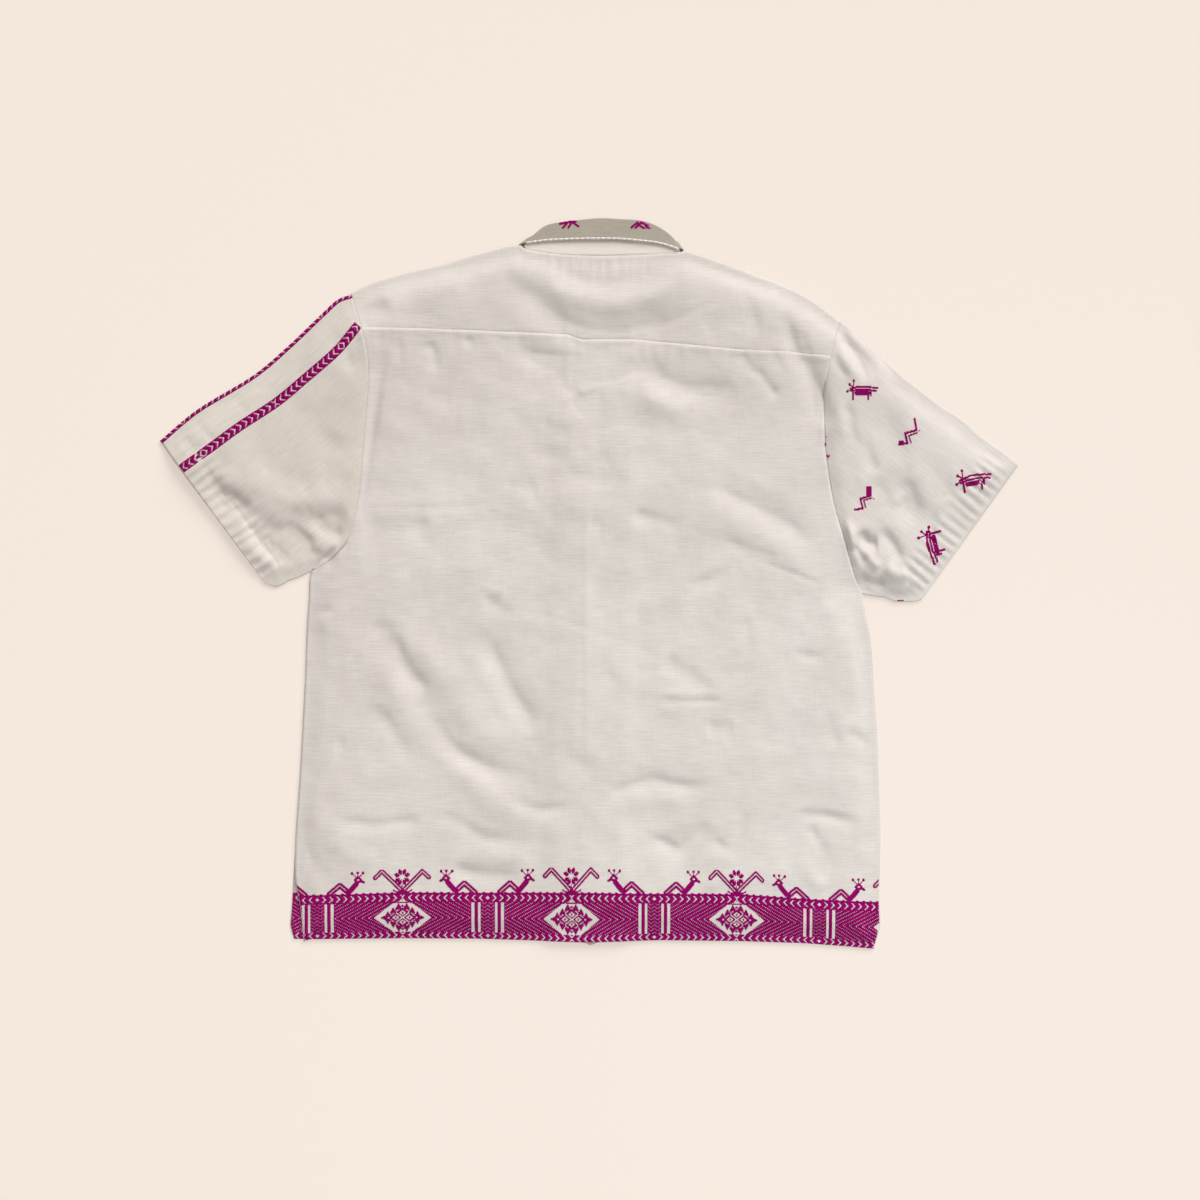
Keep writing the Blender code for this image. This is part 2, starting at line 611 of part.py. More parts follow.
def collar_place(column, row):
    """Middle of the collar's wall: columns run round the neck, rows from the seam over the roll to the edge."""
    seam, roll, edge, turn, rise = COLLAR[column]
    part = COLLAR_PROFILE[row]
    middle = LAYER / 2.0
    up = Vector((roll[0] - seam[0], roll[1] - seam[1])).normalized()
    stand_end = Vector(roll) - up * middle
    lift = 0.0
    if part in COLLAR_STAND:
        base = Vector(seam).lerp(stand_end, COLLAR_STAND[part])
        level = middle
    elif part in COLLAR_FALL:
        base = stand_end.lerp(Vector(edge), COLLAR_FALL[part])
        level = 3.0 * middle
        lift = rise * COLLAR_FALL[part] ** COLLAR_CURL
    else:
        angle = math.radians(part)
        base = stand_end + up * middle * math.cos(angle)
        level = middle * (2.0 + math.sin(angle))
    outward = Vector((math.copysign(COLLAR_OUT[0], seam[0] - COLLAR_CENTRE[0]), COLLAR_OUT[1]))
    bend = math.radians(turn)
    place = base + outward * level * math.cos(bend)
    height = 2.0 * LAYER - SEAM_GAP / 2.0 + level * math.sin(bend) + lift
    return place.x, place.y, height


def button(name, y, finish, collection):
    """A four-hole button resting face down under the left front."""
    x = centre_x(y)
    mesh = bpy.data.meshes.new(name)
    disc = bmesh.new()
    bmesh.ops.create_cone(
        disc,
        cap_ends=True,
        segments=20,
        radius1=BUTTON_RADIUS * MM,
        radius2=BUTTON_RADIUS * MM,
        depth=BUTTON_HEIGHT * MM,
    )
    rims = [edge for edge in disc.edges if abs(edge.verts[0].co.z - edge.verts[1].co.z) < 1e-7]
    bmesh.ops.bevel(disc, geom=rims, offset=0.4 * MM, segments=1, affect="EDGES", profile=0.5)
    for vertex in disc.verts:
        vertex.co += Vector((x, y, BUTTON_HEIGHT / 2.0)) * MM
    for face in disc.faces:
        face.smooth = abs(face.normal.z) < 0.9
    disc.to_mesh(mesh)
    disc.free()
    mesh.materials.append(finish)
    made = bpy.data.objects.new(name, mesh)
    collection.objects.link(made)
    return made


def button_holes(holed, y, guides):
    """Four thread holes through a button."""
    x = centre_x(y)
    mesh = bpy.data.meshes.new(holed.name + "_holes")
    pins = bmesh.new()
    for across in (-1, 1):
        for down in (-1, 1):
            made = bmesh.ops.create_cone(
                pins,
                cap_ends=True,
                segments=6,
                radius1=BUTTON_HOLE * MM,
                radius2=BUTTON_HOLE * MM,
                depth=3.0 * BUTTON_HEIGHT * MM,
            )
            shift = Vector((x, y, BUTTON_HEIGHT / 2.0))
            shift += Vector((across, down, 0.0)) * BUTTON_HOLE_PITCH
            bmesh.ops.translate(pins, verts=made["verts"], vec=shift * MM)
    pins.to_mesh(mesh)
    pins.free()
    cutter = bpy.data.objects.new(holed.name + "_holes", mesh)
    guides.objects.link(cutter)
    cutter.hide_render = True
    cutter.display_type = "WIRE"
    cut = holed.modifiers.new("thread holes", "BOOLEAN")
    cut.operation = "DIFFERENCE"
    cut.object = cutter


def build():
    for old in list(bpy.data.objects):
        bpy.data.objects.remove(old, do_unlink=True)
    shirt = bpy.data.collections.new("camp_shirt")
    guides = bpy.data.collections.new("cutters")
    bpy.context.scene.collection.children.link(shirt)
    bpy.context.scene.collection.children.link(guides)
    cloth = cloth_material()
    collar_cloth = collar_material()
    resin = button_material()

    columns = len(YOKE_COLUMNS) - 1
    back_rows = 2 * (len(SIDES) - 1 + len(ARMHOLE_LEFT) - 1 - YOKE_ROW)
    sheet("back", columns, back_rows, back_place, cloth, shirt, -1)
    yoke_rows = YOKE_BACK_ROWS + YOKE_TURN_ROWS + YOKE_FRONT_ROWS
    sheet("yoke", columns, yoke_rows, yoke_place, cloth, shirt, -1, gone=yoke_open)

    front_columns = len(FRONT_COLUMNS) - 1
    front_rows = 2 * (len(FRONT_LEFT) - 1)
    left_place = front_place(FRONT_LEFT, under_left, 1)
    right_place = front_place(FRONT_RIGHT, under_right, -1)
    sheet("front_left", front_columns, front_rows, left_place, cloth, shirt, 1)
    sheet("front_right", front_columns, front_rows, right_place, cloth, shirt, 1)

    ring = len(sleeve_ring()) - 1
    left_sleeve = sleeve_place(SLEEVE_LEFT, ARMHOLE_LEFT, -1)
    right_sleeve = sleeve_place(SLEEVE_RIGHT, ARMHOLE_RIGHT, 1)
    sheet("sleeve_left", ring, SLEEVE_SECTIONS, left_sleeve, cloth, shirt, -1, closed=True)
    sheet("sleeve_right", ring, SLEEVE_SECTIONS, right_sleeve, cloth, shirt, -1, closed=True)

    sheet("collar", len(COLLAR) - 1, len(COLLAR_PROFILE) - 1, collar_place, collar_cloth, shirt, 0)

    for number in range(BUTTON_COUNT):
        y = CENTRE_NECK[1] - BUTTON_FIRST - number * BUTTON_PITCH
        made = button(f"button_{number + 1}", y, resin, shirt)
        button_holes(made, y, guides)


build()
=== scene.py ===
"""Looks of a hand-woven camp shirt laid flat with its back up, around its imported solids.

Tables are in millimetres, each place as (x, y) on the resting surface; the frame is in metres.
"""
import math
import random

import bmesh
import bpy
import numpy as np
from mathutils import Matrix, Vector, noise


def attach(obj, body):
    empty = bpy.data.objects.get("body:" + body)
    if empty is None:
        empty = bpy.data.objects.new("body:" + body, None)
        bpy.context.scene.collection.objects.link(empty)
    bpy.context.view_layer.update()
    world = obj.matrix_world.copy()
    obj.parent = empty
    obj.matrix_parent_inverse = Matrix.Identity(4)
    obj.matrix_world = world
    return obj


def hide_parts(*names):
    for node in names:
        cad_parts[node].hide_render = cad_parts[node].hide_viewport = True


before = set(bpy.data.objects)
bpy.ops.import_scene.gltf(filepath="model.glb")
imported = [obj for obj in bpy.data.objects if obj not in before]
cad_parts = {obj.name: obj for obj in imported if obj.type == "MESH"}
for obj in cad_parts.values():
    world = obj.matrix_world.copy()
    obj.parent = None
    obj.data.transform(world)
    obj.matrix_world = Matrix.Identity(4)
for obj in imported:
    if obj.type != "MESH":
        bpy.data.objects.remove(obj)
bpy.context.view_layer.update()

MM = 0.001
WALL = 1.2
SEAM_GAP = 0.3
LAYER = WALL + SEAM_GAP
FOLD_RADIUS = (2.0 * WALL + SEAM_GAP) / 2.0
CLOTH = 0.8

# How far the cloth stands above its solids: air under it, its folds and its creases
LOFT = 2.6
LOFT_REACH = 24.0
CREASE_GAIN = 1.6
FOLD_GAIN = 0.95
# Creases: reach and widths in half-widths, way to the light, share of their ends, unevenness
CREASE_REACH = 4.5
SHADED_WIDTH = 1.5
LIT_NARROWING = 0.6
RIDGE_WIDTH = 1.1
LIT_SIDE = (0.47, 0.88)
LIT_STEP = 0.4
LIT_BLEND = 0.35
CREASE_END = 0.3
CREASE_BLUNT = 0.04
CREASE_UNEVEN = 0.28
CRUMPLES = ((1.3, 66.0, 1.0), (0.8, 26.0, 2.0))
FINE_CRUMPLE = (0.25, 11.0, 4.0)
FINE_REACH = 7.0

# Low swells along the shoulders and the right side: height, distance of the top, distance of the foot
SHOULDER_ROLL = (3.3, 30.0, 110.0)
SIDE_ROLL = (2.2, 42.0, 110.0)
SIDE_ROLL_ENDS = (-300.0, -120.0)
NECK_FLATTENS = (0.65, 60.0)

# Form of the laid cloth, as in its solids
PUFF = 2.2
PUFF_REACH = 45.0
EDGE_FADE = (4.0, 20.0)
BRIDGE = 10.0
SETTLE = 0.5
CENTRE_NECK = (11.0, 261.5)
CENTRE_HEM = (-2.0, -361.5)
LAP_FLAT = 26.0
LAP_RAMP = 50.0
NECK_FADE = 60.0
BUTTON_LIFT = 2.5
BUTTON_FLAT = 10.0
BUTTON_RAMP = 28.0
COLLAR_CENTRE = (11.0, 293.5)
COLLAR_HALF = (125.0, 112.0)
COLLAR_RAMP = 1.42

ARMHOLE_LEFT = [
    (-238, 289.5), (-232.8, 272), (-227.5, 254.5), (-223, 236.5), (-220.5, 213.5),
    (-221.5, 188.5), (-224.5, 156.5), (-227, 126.5), (-229, 97.5), (-233, 71.5),
    (-240, 45.5), (-257, 25.5), (-277, 12.5),
]
ARMHOLE_RIGHT = [
    (251, 261.5), (246, 243.5), (241, 225.5), (237.5, 205.5), (235.5, 183.5),
    (235, 160.5), (236, 133.5), (240, 103.5), (245, 77.5), (252, 51.5),
    (259, 26.5), (266, 4.5), (273, -10.5),
]
YOKE_ROW = 2
SIDES = [
    ((-277, 12.5), (273, -10.5)), ((-280, -16.5), (276, -28.5)), ((-282, -44.5), (280, -48.5)),
    ((-283, -72.5), (283, -74.5)), ((-284, -100.5), (284.5, -102.5)),
    ((-285.5, -128.5), (286.5, -130.5)), ((-287, -156.5), (288.3, -158.5)),
    ((-288.5, -184.5), (289.2, -186.5)), ((-290.5, -212.5), (290, -214.5)),
    ((-292.5, -240.5), (291, -242.5)), ((-293.8, -268.5), (291, -270.5)),
    ((-293.5, -296.5), (290, -298.5)), ((-289.5, -316.5), (290, -318.5)),
    ((-287, -336.5), (291, -340.5)), ((-285, -357.5), (284.6, -365.1)),
]
HEM = [
    (-285, -357.5), (-279, -355.5), (-187, -354.5), (-109, -355), (-3, -358.5),
    (71, -356.5), (154, -357.5), (215, -359.5), (256, -362.5), (284.6, -365.1),
]
YOKE_SEAM = [
    (-227.5, 254.5), (-172, 253.5), (-122, 251.5), (-22, 247.5), (-7, 242.5),
    (47, 242.5), (97, 237.5), (155, 232), (201, 230.5), (241, 225.5),
]
YOKE_COLUMNS = [
    ((-238, 289.5), -227.5), ((-227, 295.5), -212.5), ((-213, 301.5), -197.5),
    ((-193, 307.5), -179), ((-171, 313.5), -160), ((-145, 319.5), -139), ((-124, 325.5), -119),
    ((-101, 331.5), -97), ((-84, 336), -78), ((-69, 338.7), -60), ((-62, 334), -48),
    ((-44, 331), -32), ((-26, 329), -16), ((-7, 327.8), -1), ((11, 327.5), 14), ((29, 327.8), 29),
    ((48, 328.5), 44), ((66, 329.5), 59), ((83, 330.7), 74), ((97, 332), 87), ((117, 325.5), 107),
    ((134, 319.5), 127), ((153, 313.5), 147), ((170, 307.5), 166), ((186, 301.5), 183),
    ((199, 295.5), 198), ((211, 289.5), 212), ((229, 278.5), 225), ((251, 261.5), 241),
]
NECK_LEFT = 9
NECK_RIGHT = 19
YOKE_WRAP = 28.0
# Edges of the fronts: outer one with the points of the armhole and the side, inner one at the lap
FRONT_ROWS = (1, 2, 4, 6, 8)
FRONT_LEFT = list(zip(
    [(-229.6, 261.2)] + ARMHOLE_LEFT[2:] + [SIDES[n][0] for n in FRONT_ROWS]
    + [(-294, -268.5), (-297, -319.5), (-298.5, -341.5), (-295, -355)],
    [
        (-64, 310.4), (-61, 305.5), (-53, 293.5), (-39, 279.5), (-17, 266), (26, 259),
        (25.5, 208.5), (24.5, 158.5), (23.5, 113.5), (22.5, 71.5), (22, 35.5), (21.5, 5.5),
        (20.8, -22.5), (20.2, -50.5), (19, -106.5), (17.7, -161.5), (16.4, -216.5), (15.1, -271.5),
        (14.1, -321.5), (13.4, -344.5), (13, -362),
    ],
))
FRONT_RIGHT = list(zip(
    [(243.2, 233.2)] + ARMHOLE_RIGHT[2:] + [SIDES[n][1] for n in FRONT_ROWS + (10, 12, 13)]
    + [(283.5, -362)],
    [
        (92, 303.7), (89, 300.5), (83, 293.5), (68, 279.5), (44, 265), (-4, 259), (-5, 208.5),
        (-6, 158.5), (-7, 113.5), (-8, 71.5), (-8.7, 35.5), (-9.2, 5.5), (-9.8, -22.5),
        (-10.4, -50.5), (-11.5, -106.5), (-12.8, -161.5), (-14, -216.5), (-15.2, -271.5),
        (-16.3, -321.5), (-16.7, -344.5), (-17, -361.5),
    ],
))
SLEEVE_LEFT = [
    ((-238, 289.5), (-277, 12.5)), ((-252, 283.5), (-281, 10.5)), ((-268, 268.5), (-285, 8.5)),
    ((-284, 253.5), (-289, 6.5)), ((-299, 238.5), (-293, 5)), ((-316, 223.5), (-297, 3.5)),
    ((-335, 208.5), (-301, 2)), ((-360, 193.5), (-305, -0.5)), ((-385, 178.5), (-309, -2.5)),
    ((-406, 162.5), (-314, -3.5)), ((-429, 142.5), (-323, -0.5)),
]
SLEEVE_RIGHT = [
    ((251, 261.5), (273, -10.5)), ((262, 253.5), (278, -11.5)), ((279, 238.5), (283, -12.5)),
    ((295, 223.5), (289, -13.5)), ((311, 208.5), (295, -14)), ((330, 193.5), (301, -16.5)),
    ((350, 178.5), (307, -18.5)), ((373, 163.5), (314, -18.5)), ((391, 147.5), (320, -18.5)),
    ((412, 132.5), (326, -18)), ((429, 118.5), (332, -16.5)),
]
ARMHOLE_BOW_SECTIONS = 4.0
COLLAR = [
    ((9, 263.5), (8, 272.5), (-32, 207.5), -90, 0),
    ((-3, 265), (-1, 276.5), (-41, 218.5), -90, 0),
    ((-17, 270), (-13, 281.5), (-55, 230.5), -90, 0),
    ((-33, 279), (-27, 290.5), (-70, 249.5), -90, 0),
    ((-46, 291.5), (-38, 302.5), (-81, 270.5), -90, 0),
    ((-56, 306.5), (-48, 317.5), (-87, 292.5), -90, 0),
    ((-62, 321.5), (-55, 331.5), (-86, 314.5), -90, 0),
    ((-64.5, 335), (-60, 342.5), (-73, 338), -90, 0),
    ((-64.5, 335.5), (-60, 343), (-71, 340.5), -45, 0),
    ((-64.5, 336), (-60, 343.5), (-70, 341.5), 0, 0),
    ((-63, 335.5), (-59, 344.5), (-68, 340.5), 45, 0.5),
    ((-59, 334), (-55, 348), (-62, 340), 90, 1.5),
    ((-44, 331.5), (-43, 357), (-45, 340.5), 90, 4),
    ((-28, 329.5), (-28, 360.5), (-28, 340.5), 90, 5.5),
    ((-9, 328.3), (-9, 362.7), (-9, 340.5), 90, 6.3),
    ((11, 328), (11, 364.5), (11, 340.5), 90, 6.6),
    ((31, 328.3), (31, 363.5), (31, 340), 90, 6.3),
    ((51, 329), (52, 362), (52, 339), 90, 5.5),
    ((68, 330), (67, 357), (68, 337.5), 90, 4),
    ((82, 331), (80, 348.5), (83, 335.5), 90, 2),
    ((88, 332.5), (85, 341.5), (90, 334.5), 45, 0.5),
    ((90, 332.5), (87, 340), (94, 335), 0, 0),
    ((90.3, 332), (87, 339.5), (95, 334), -45, 0),
    ((90.5, 331.5), (87, 339), (97, 331.5), -90, 0),
    ((86, 318.5), (79, 328.5), (109, 310.5), -90, 0),
    ((80, 303.5), (71, 314.5), (110, 289.5), -90, 0),
    ((70, 289.5), (61, 300.5), (104, 268.5), -90, 0),
    ((57, 278), (50, 289.5), (93, 247.5), -90, 0),
    ((43, 270), (38, 280.5), (78, 229.5), -90, 0),
    ((29, 265), (27, 275.5), (64, 218.5), -90, 0),
    ((17, 263.3), (18, 272), (56, 207.5), -90, 0),
]
COLLAR_OUT = (0.9, 0.44)
SHOULDER_LINE = (
    [top for top, _ in SLEEVE_LEFT][::-1]
    + [place for place, _ in YOKE_COLUMNS][1:-1]
    + [top for top, _ in SLEEVE_RIGHT]
)
SILHOUETTE = (
    SHOULDER_LINE
    + [under for _, under in SLEEVE_RIGHT][::-1]
    + [right for _, right in SIDES][1:]
    + HEM[-2::-1]
    + [left for left, _ in SIDES][-2::-1]
    + [under for _, under in SLEEVE_LEFT][1:]
)
RIGHT_SIDE = [right for _, right in SIDES]

# Broad folds, as in the solids: places, height (troughs below zero), half-width
FOLDS = [
    ([(-34, 293.5), (20, 282.5), (86, 297.5)], 1.8, 17),
    ([(-64, 301.5), (-34, 266.5), (-3, 249.5), (43, 251.5), (82, 282.5)], -1.2, 14),
    ([(-72, 235.5), (-34, 222.5), (20, 212.5), (47, 218.5)], -1.5, 15),
    ([(28, 201.5), (59, 182.5), (97, 170.5)], 1.8, 17),
    ([(66, 216.5), (78, 197.5), (112, 191.5), (151, 189.5)], -1.3, 14),
    ([(209, 224.5), (228, 201.5), (223, 162.5), (229, 112.5), (243, 58.5)], -1.5, 15),
    ([(-205, 232.5), (-209, 189.5), (-213, 143.5), (-217, 97.5), (-227, 51.5)], -1.5, 15),
    ([(-222, 74.5), (-134, 72.5), (-80, 80.5), (51, 83.5)], 1.2, 14),
    ([(120, 101.5), (159, 82.5), (193, 62.5), (224, 35.5)], -1.7, 15),
    ([(111, 77.5), (151, 57.5), (186, 37.5), (219, 11.5)], 2, 16),
    ([(-221, -41.5), (-192, -73.5), (-162, -102.5),
      (-158, -135.5), (-125, -168.5), (-71, -189.5)], -1.7, 15),
    ([(-194, -51.5), (-156, -83.5), (-129, -116.5), (-114, -146.5), (-79, -166.5)], 2.2, 17),
    ([(-100, -52.5), (-83, -93.5), (-67, -118.5), (-54, -148.5)], -1.5, 15),
    ([(-8, 123.5), (-7, -16.5), (-6, -176.5), (-8, -266.5)], 0.9, 14),
    ([(21, -210.5), (50, -198.5), (83, -196.5), (125, -200.5)], -1.2, 13),
    ([(54, -252.5), (88, -264.5), (121, -239.5)], -1.3, 13),
    ([(92, -4.5), (138, 6.5), (158, 22.5)], 1.3, 15),
    ([(233, -18.5), (256, -66.5), (273, -123.5)], 1.6, 15),
    ([(-334, 53.5), (-319, 38.5), (-301, 23.5)], -1.3, 14),
    ([(-369, 113.5), (-349, 103.5), (-327, 91.5)], 1.7, 15),
    ([(-267, 66.5), (-262, 56.5), (-249, 51.5)], -1.2, 13),
    ([(256, 248.5), (267, 233.5), (279, 211.5)], -1.3, 13),
    ([(264, 61.5), (268, 43.5), (274, 21.5)], 2.2, 14),
    ([(311, 98.5), (321, 76.5), (333, 63.5)], -1.3, 14),
]
FOLD_CLEARANCE = 0.3
FOLD_SPREAD = 1.7
FOLD_END = 0.25
FOLD_BLUNT = 0.1

# Finer creases: places, height (troughs below zero), half-width
CREASES = [
    ([(-91, 299.5), (-69, 292.5), (-44, 275.5), (-17, 252.5),
      (16, 243.5), (51, 249.5), (79, 262.5), (116, 277.5)], -2.1, 11),
    ([(-49, 302.5), (-14, 284.5), (23, 277.5), (61, 286.5), (106, 303.5)], 1.5, 10),
    ([(-36, 321.5), (-19, 306.5), (11, 298.5), (51, 302.5), (87, 311.5)], -1.6, 8),
    ([(-29, 315.5), (1, 307.5), (41, 307.5), (79, 311.5)], -0.8, 8),
    ([(51, 254.5), (79, 260.5), (105, 271.5), (125, 283.5)], -0.5, 2.2),
    ([(-74, 237.5), (-52, 226.5), (-12, 220.5), (31, 213.5), (51, 219.5)], -1.2, 6),
    ([(1, 218.5), (19, 215.5), (35, 219.5)], -0.8, 7),
    ([(-23, 202.5), (-11, 186.5), (1, 167.5)], -1.5, 4.6),
    ([(1, 218.5), (16, 215.5), (33, 221.5)], -0.9, 6),
    ([(65, 231.5), (67, 211.5), (91, 196.5), (123, 193.5), (151, 191.5)], -1.5, 9),
    ([(87, 231.5), (107, 234.5), (127, 231.5)], 0.5, 6),
    ([(47, 195.5), (66, 183.5), (87, 174.5), (109, 170.5)], 1.3, 10),
    ([(-3, 191.5), (5, 171.5), (17, 147.5)], -2, 15),
    ([(167, 214.5), (178, 199.5), (189, 186.5)], -1.1, 4),
    ([(194, 271.5), (201, 251.5), (208, 230.5),
      (223, 205.5), (231, 183.5), (233, 159.5)], -2.2, 6.5),
    ([(211, 253.5), (217, 233.5), (226, 211.5)], -0.8, 4),
    ([(-204, 233.5), (-209, 203.5), (-214, 171.5),
      (-219, 138.5), (-224, 101.5), (-231, 66.5)], -1.6, 5),
    ([(-231, 253.5), (-219, 270.5), (-199, 281.5)], -1.8, 8),
    ([(-159, 242.5), (-154, 227.5), (-153, 211.5)], -1, 5),
    ([(-165, 189.5), (-151, 186.5), (-136, 185.5)], -0.55, 8),
    ([(-191, 245.5), (-188, 231.5), (-191, 219.5)], -0.6, 4),
    ([(-119, 245.5), (-117, 233.5)], -0.6, 4),
    ([(-84, 245.5), (-89, 232.5)], -0.6, 4),
    ([(153, 231.5), (159, 219.5), (165, 207.5)], -0.7, 4),
    ([(183, 233.5), (188, 221.5), (191, 211.5)], -0.6, 4),
    ([(-46, 160.5), (-33, 154.5), (-18, 150.5)], -0.8, 6),
    ([(-60, 130.5), (-39, 128.5), (-17, 131.5)], -0.7, 7),
    ([(11, 131.5), (21, 113.5), (29, 95.5)], -0.6, 8),
    ([(-84, 96.5), (-69, 94.5), (-53, 99.5)], -0.8, 8),
    ([(-223, 76.5), (-169, 75.5), (-119, 77.5), (-89, 80.5)], -0.45, 3.4),
    ([(-89, 80.5), (-39, 82.5), (11, 85.5), (91, 83.5)], -0.22, 4),
    ([(-8, 123.5), (-7, 23.5), (-6.5, -96.5), (-7, -226.5)], -0.12, 3),
    ([(-4, 83.5), (-3, 23.5), (-2.5, -96.5), (-3, -216.5)], 0.25, 3),
    ([(43, 70.5), (66, 64.5), (93, 58.5)], -1.1, 6),
    ([(1, 61.5), (14, 58.5)], -0.7, 5),
    ([(111, 95.5), (136, 90.5), (164, 76.5), (191, 63.5), (207, 53.5), (223, 37.5)], -0.7, 6),
    ([(133, 47.5), (152, 36.5), (171, 29.5), (188, 25.5)], -0.7, 5),
    ([(156, 24.5), (141, 12.5), (119, 3.5), (95, -4.5)], -1.2, 7),
    ([(159, 26.5), (198, 12.5), (233, -1.5)], -0.5, 2.6),
    ([(-106, -14.5), (-91, -22.5), (-76, -33.5)], -1.1, 6),
    ([(-107, -4.5), (-95, -7.5), (-81, -8.5)], 0.6, 4),
    ([(-93, -20.5), (-37, -33.5), (11, -49.5), (45, -61.5), (75, -77.5)], -0.25, 3),
    ([(73, -73.5), (87, -82.5), (105, -94.5), (123, -108.5)], -1.1, 8),
    ([(71, -116.5), (101, -116.5), (135, -117)], -1.1, 2.8),
    ([(59, -108.5), (91, -110.5), (117, -111.5)], 0.5, 5),
    ([(117, -143.5), (131, -143.5), (144, -142.5)], -1.1, 6),
    ([(11, -76.5), (19, -88.5), (27, -100.5)], -0.5, 7),
    ([(-221, -42.5), (-207, -44.5), (-193, -45.5)], -0.8, 6),
    ([(-196, -48.5), (-187, -71.5), (-175, -91.5), (-159, -107.5)], -1.5, 6.5),
    ([(-159, -128.5), (-145, -152.5), (-125, -171.5), (-99, -184.5), (-68, -190.5)], -1.7, 7.5),
    ([(-225, -124.5), (-205, -132.5), (-192, -154.5), (-176, -177.5)], -0.9, 6.5),
    ([(-104, -49.5), (-92, -76.5), (-81, -100.5), (-67, -122.5), (-52, -145.5)], -1.5, 8),
    ([(-164, -124.5), (-137, -168.5), (-97, -213.5), (-49, -240.5), (-13, -250.5)], 1.3, 14),
    ([(-209, -71.5), (-189, -116.5), (-159, -161.5)], 0.8, 12),
    ([(-254, -236.5), (-217, -240.5), (-191, -238.5), (-169, -234.5)], -1.2, 5.5),
    ([(-149, -232.5), (-127, -238.5), (-104, -253.5), (-55, -258.5)], -1.2, 6.5),
    ([(-76, -215.5), (-49, -225.5), (-19, -222.5)], -1.1, 5.5),
    ([(-137, -282.5), (-109, -289.5), (-69, -293.5)], -1.5, 6.5),
    ([(-259, -254.5), (-239, -272.5), (-209, -278.5)], 0.8, 10),
    ([(-119, -269.5), (-89, -272.5), (-59, -277.5)], 0.8, 9),
    ([(-291, -261.5), (-277, -278.5), (-255, -296.5)], -1, 9),
    ([(-253, -158.5), (-243, -160.5)], -0.9, 7),
    ([(-280, -33.5), (-268, -28.5), (-252, -24.5)], -0.9, 4),
    ([(-283, -46.5), (-271, -44.5), (-259, -38.5)], 0.6, 4),
    ([(-286, -122.5), (-273, -117.5)], -0.8, 4.5),
    ([(-287, -157.5), (-275, -153.5)], -0.8, 4.5),
    ([(17, -211.5), (39, -202.5), (63, -195.5),
      (85, -200.5), (108, -202.5), (129, -197.5)], -1.4, 5),
    ([(39, -216.5), (66, -216.5), (101, -219.5)], 0.8, 9),
    ([(54, -252.5), (73, -257.5), (90, -264.5), (104, -252.5), (120, -238.5)], -1.2, 5),
    ([(123, -252.5), (138, -264.5), (149, -248.5), (159, -227.5)], -1.2, 5),
    ([(101, -276.5), (126, -274.5), (146, -272.5)], 0.7, 8),
    ([(206, -229.5), (237, -231.5), (270, -239.5)], -1.4, 4.5),
    ([(221, -240.5), (227, -254.5), (238, -270.5)], -1, 5),
    ([(207, -273.5), (221, -290.5), (235, -307.5)], 1, 9),
    ([(203, -68.5), (217, -71.5), (235, -73.5)], -0.9, 4),
    ([(157, -33.5), (158, -56.5), (161, -74.5)], -0.5, 5),
    ([(235, -127.5), (242, -145.5), (249, -164.5)], -0.7, 6),
    ([(256, -147.5), (269, -153.5), (285, -160.5)], -0.9, 5),
    ([(46, -84.5), (101, -87.5), (171, -85.5)], -0.2, 2.5),
    ([(-244, 245.5), (-241, 231.5), (-237, 211.5)], -0.9, 4),
    ([(-249, 249.5), (-253, 233.5)], -0.6, 4),
    ([(-354, 188.5), (-349, 178.5), (-339, 168.5)], -0.7, 1.8),
    ([(-396, 165.5), (-383, 151.5), (-373, 142.5)], -0.8, 1.9),
    ([(-405, 146.5), (-398, 140.5), (-390, 133.5)], -0.6, 3),
    ([(-361, 91.5), (-351, 81.5), (-339, 75.5)], -1.8, 7),
    ([(-339, 57.5), (-327, 45.5), (-313, 34.5), (-297, 23.5)], -2.4, 7),
    ([(-351, 67.5), (-333, 38.5), (-311, 17.5)], 0.7, 8),
    ([(-305, 57.5), (-291, 48.5), (-273, 38.5)], -2.3, 7),
    ([(-271, 69.5), (-265, 57.5), (-255, 51.5), (-243, 50.5)], -2, 4.6),
    ([(-283, 75.5), (-271, 83.5), (-257, 93.5)], 0.9, 9),
    ([(-375, 127.5), (-357, 115.5), (-339, 107.5)], -0.7, 8),
    ([(-252, 42.5), (-261, 32.5), (-272, 20.5)], 1.8, 4.4),
    ([(-253, 37.5), (-261, 28.5), (-269, 21.5)], -1.5, 1.8),
    ([(-239, 42.5), (-251, 27.5), (-267, 12.5)], -0.8, 2.6),
    ([(249, 261.5), (269, 238.5), (293, 193.5)], 1.8, 17),
    ([(252, 256.5), (264, 240.5), (275, 224.5), (286, 202.5)], -2.8, 5),
    ([(244, 251.5), (253, 236.5), (263, 219.5), (272, 204.5)], 0.7, 4.6),
    ([(244, 226.5), (250, 216.5), (258, 205.5)], -1.1, 3.2),
    ([(247, 181.5), (253, 163.5), (251, 143.5)], 0.9, 6),
    ([(258, 179.5), (261, 158.5), (267, 138.5)], -1.2, 5),
    ([(273, 143.5), (281, 125.5), (285, 109.5)], -1.3, 6),
    ([(316, 105.5), (323, 85.5), (333, 67.5)], -1.6, 7),
    ([(283, 103.5), (295, 87.5), (301, 71.5)], -1, 7),
    ([(256, 64.5), (260, 53.5), (264, 38.5), (270, 22.5)], 2.2, 4.2),
    ([(272, 52.5), (278, 42.5), (288, 42.5)], -3.2, 6),
    ([(264, 38.5), (269, 29.5), (277, 23.5)], -2, 3.4),
    ([(275, 31.5), (281, 23.5), (289, 14.5)], 1.8, 4),
    ([(291, 55.5), (304, 38.5), (311, 21.5)], -1.6, 7),
    ([(294, 17.5), (305, 9.5), (319, 6.5)], 1.8, 6.5),
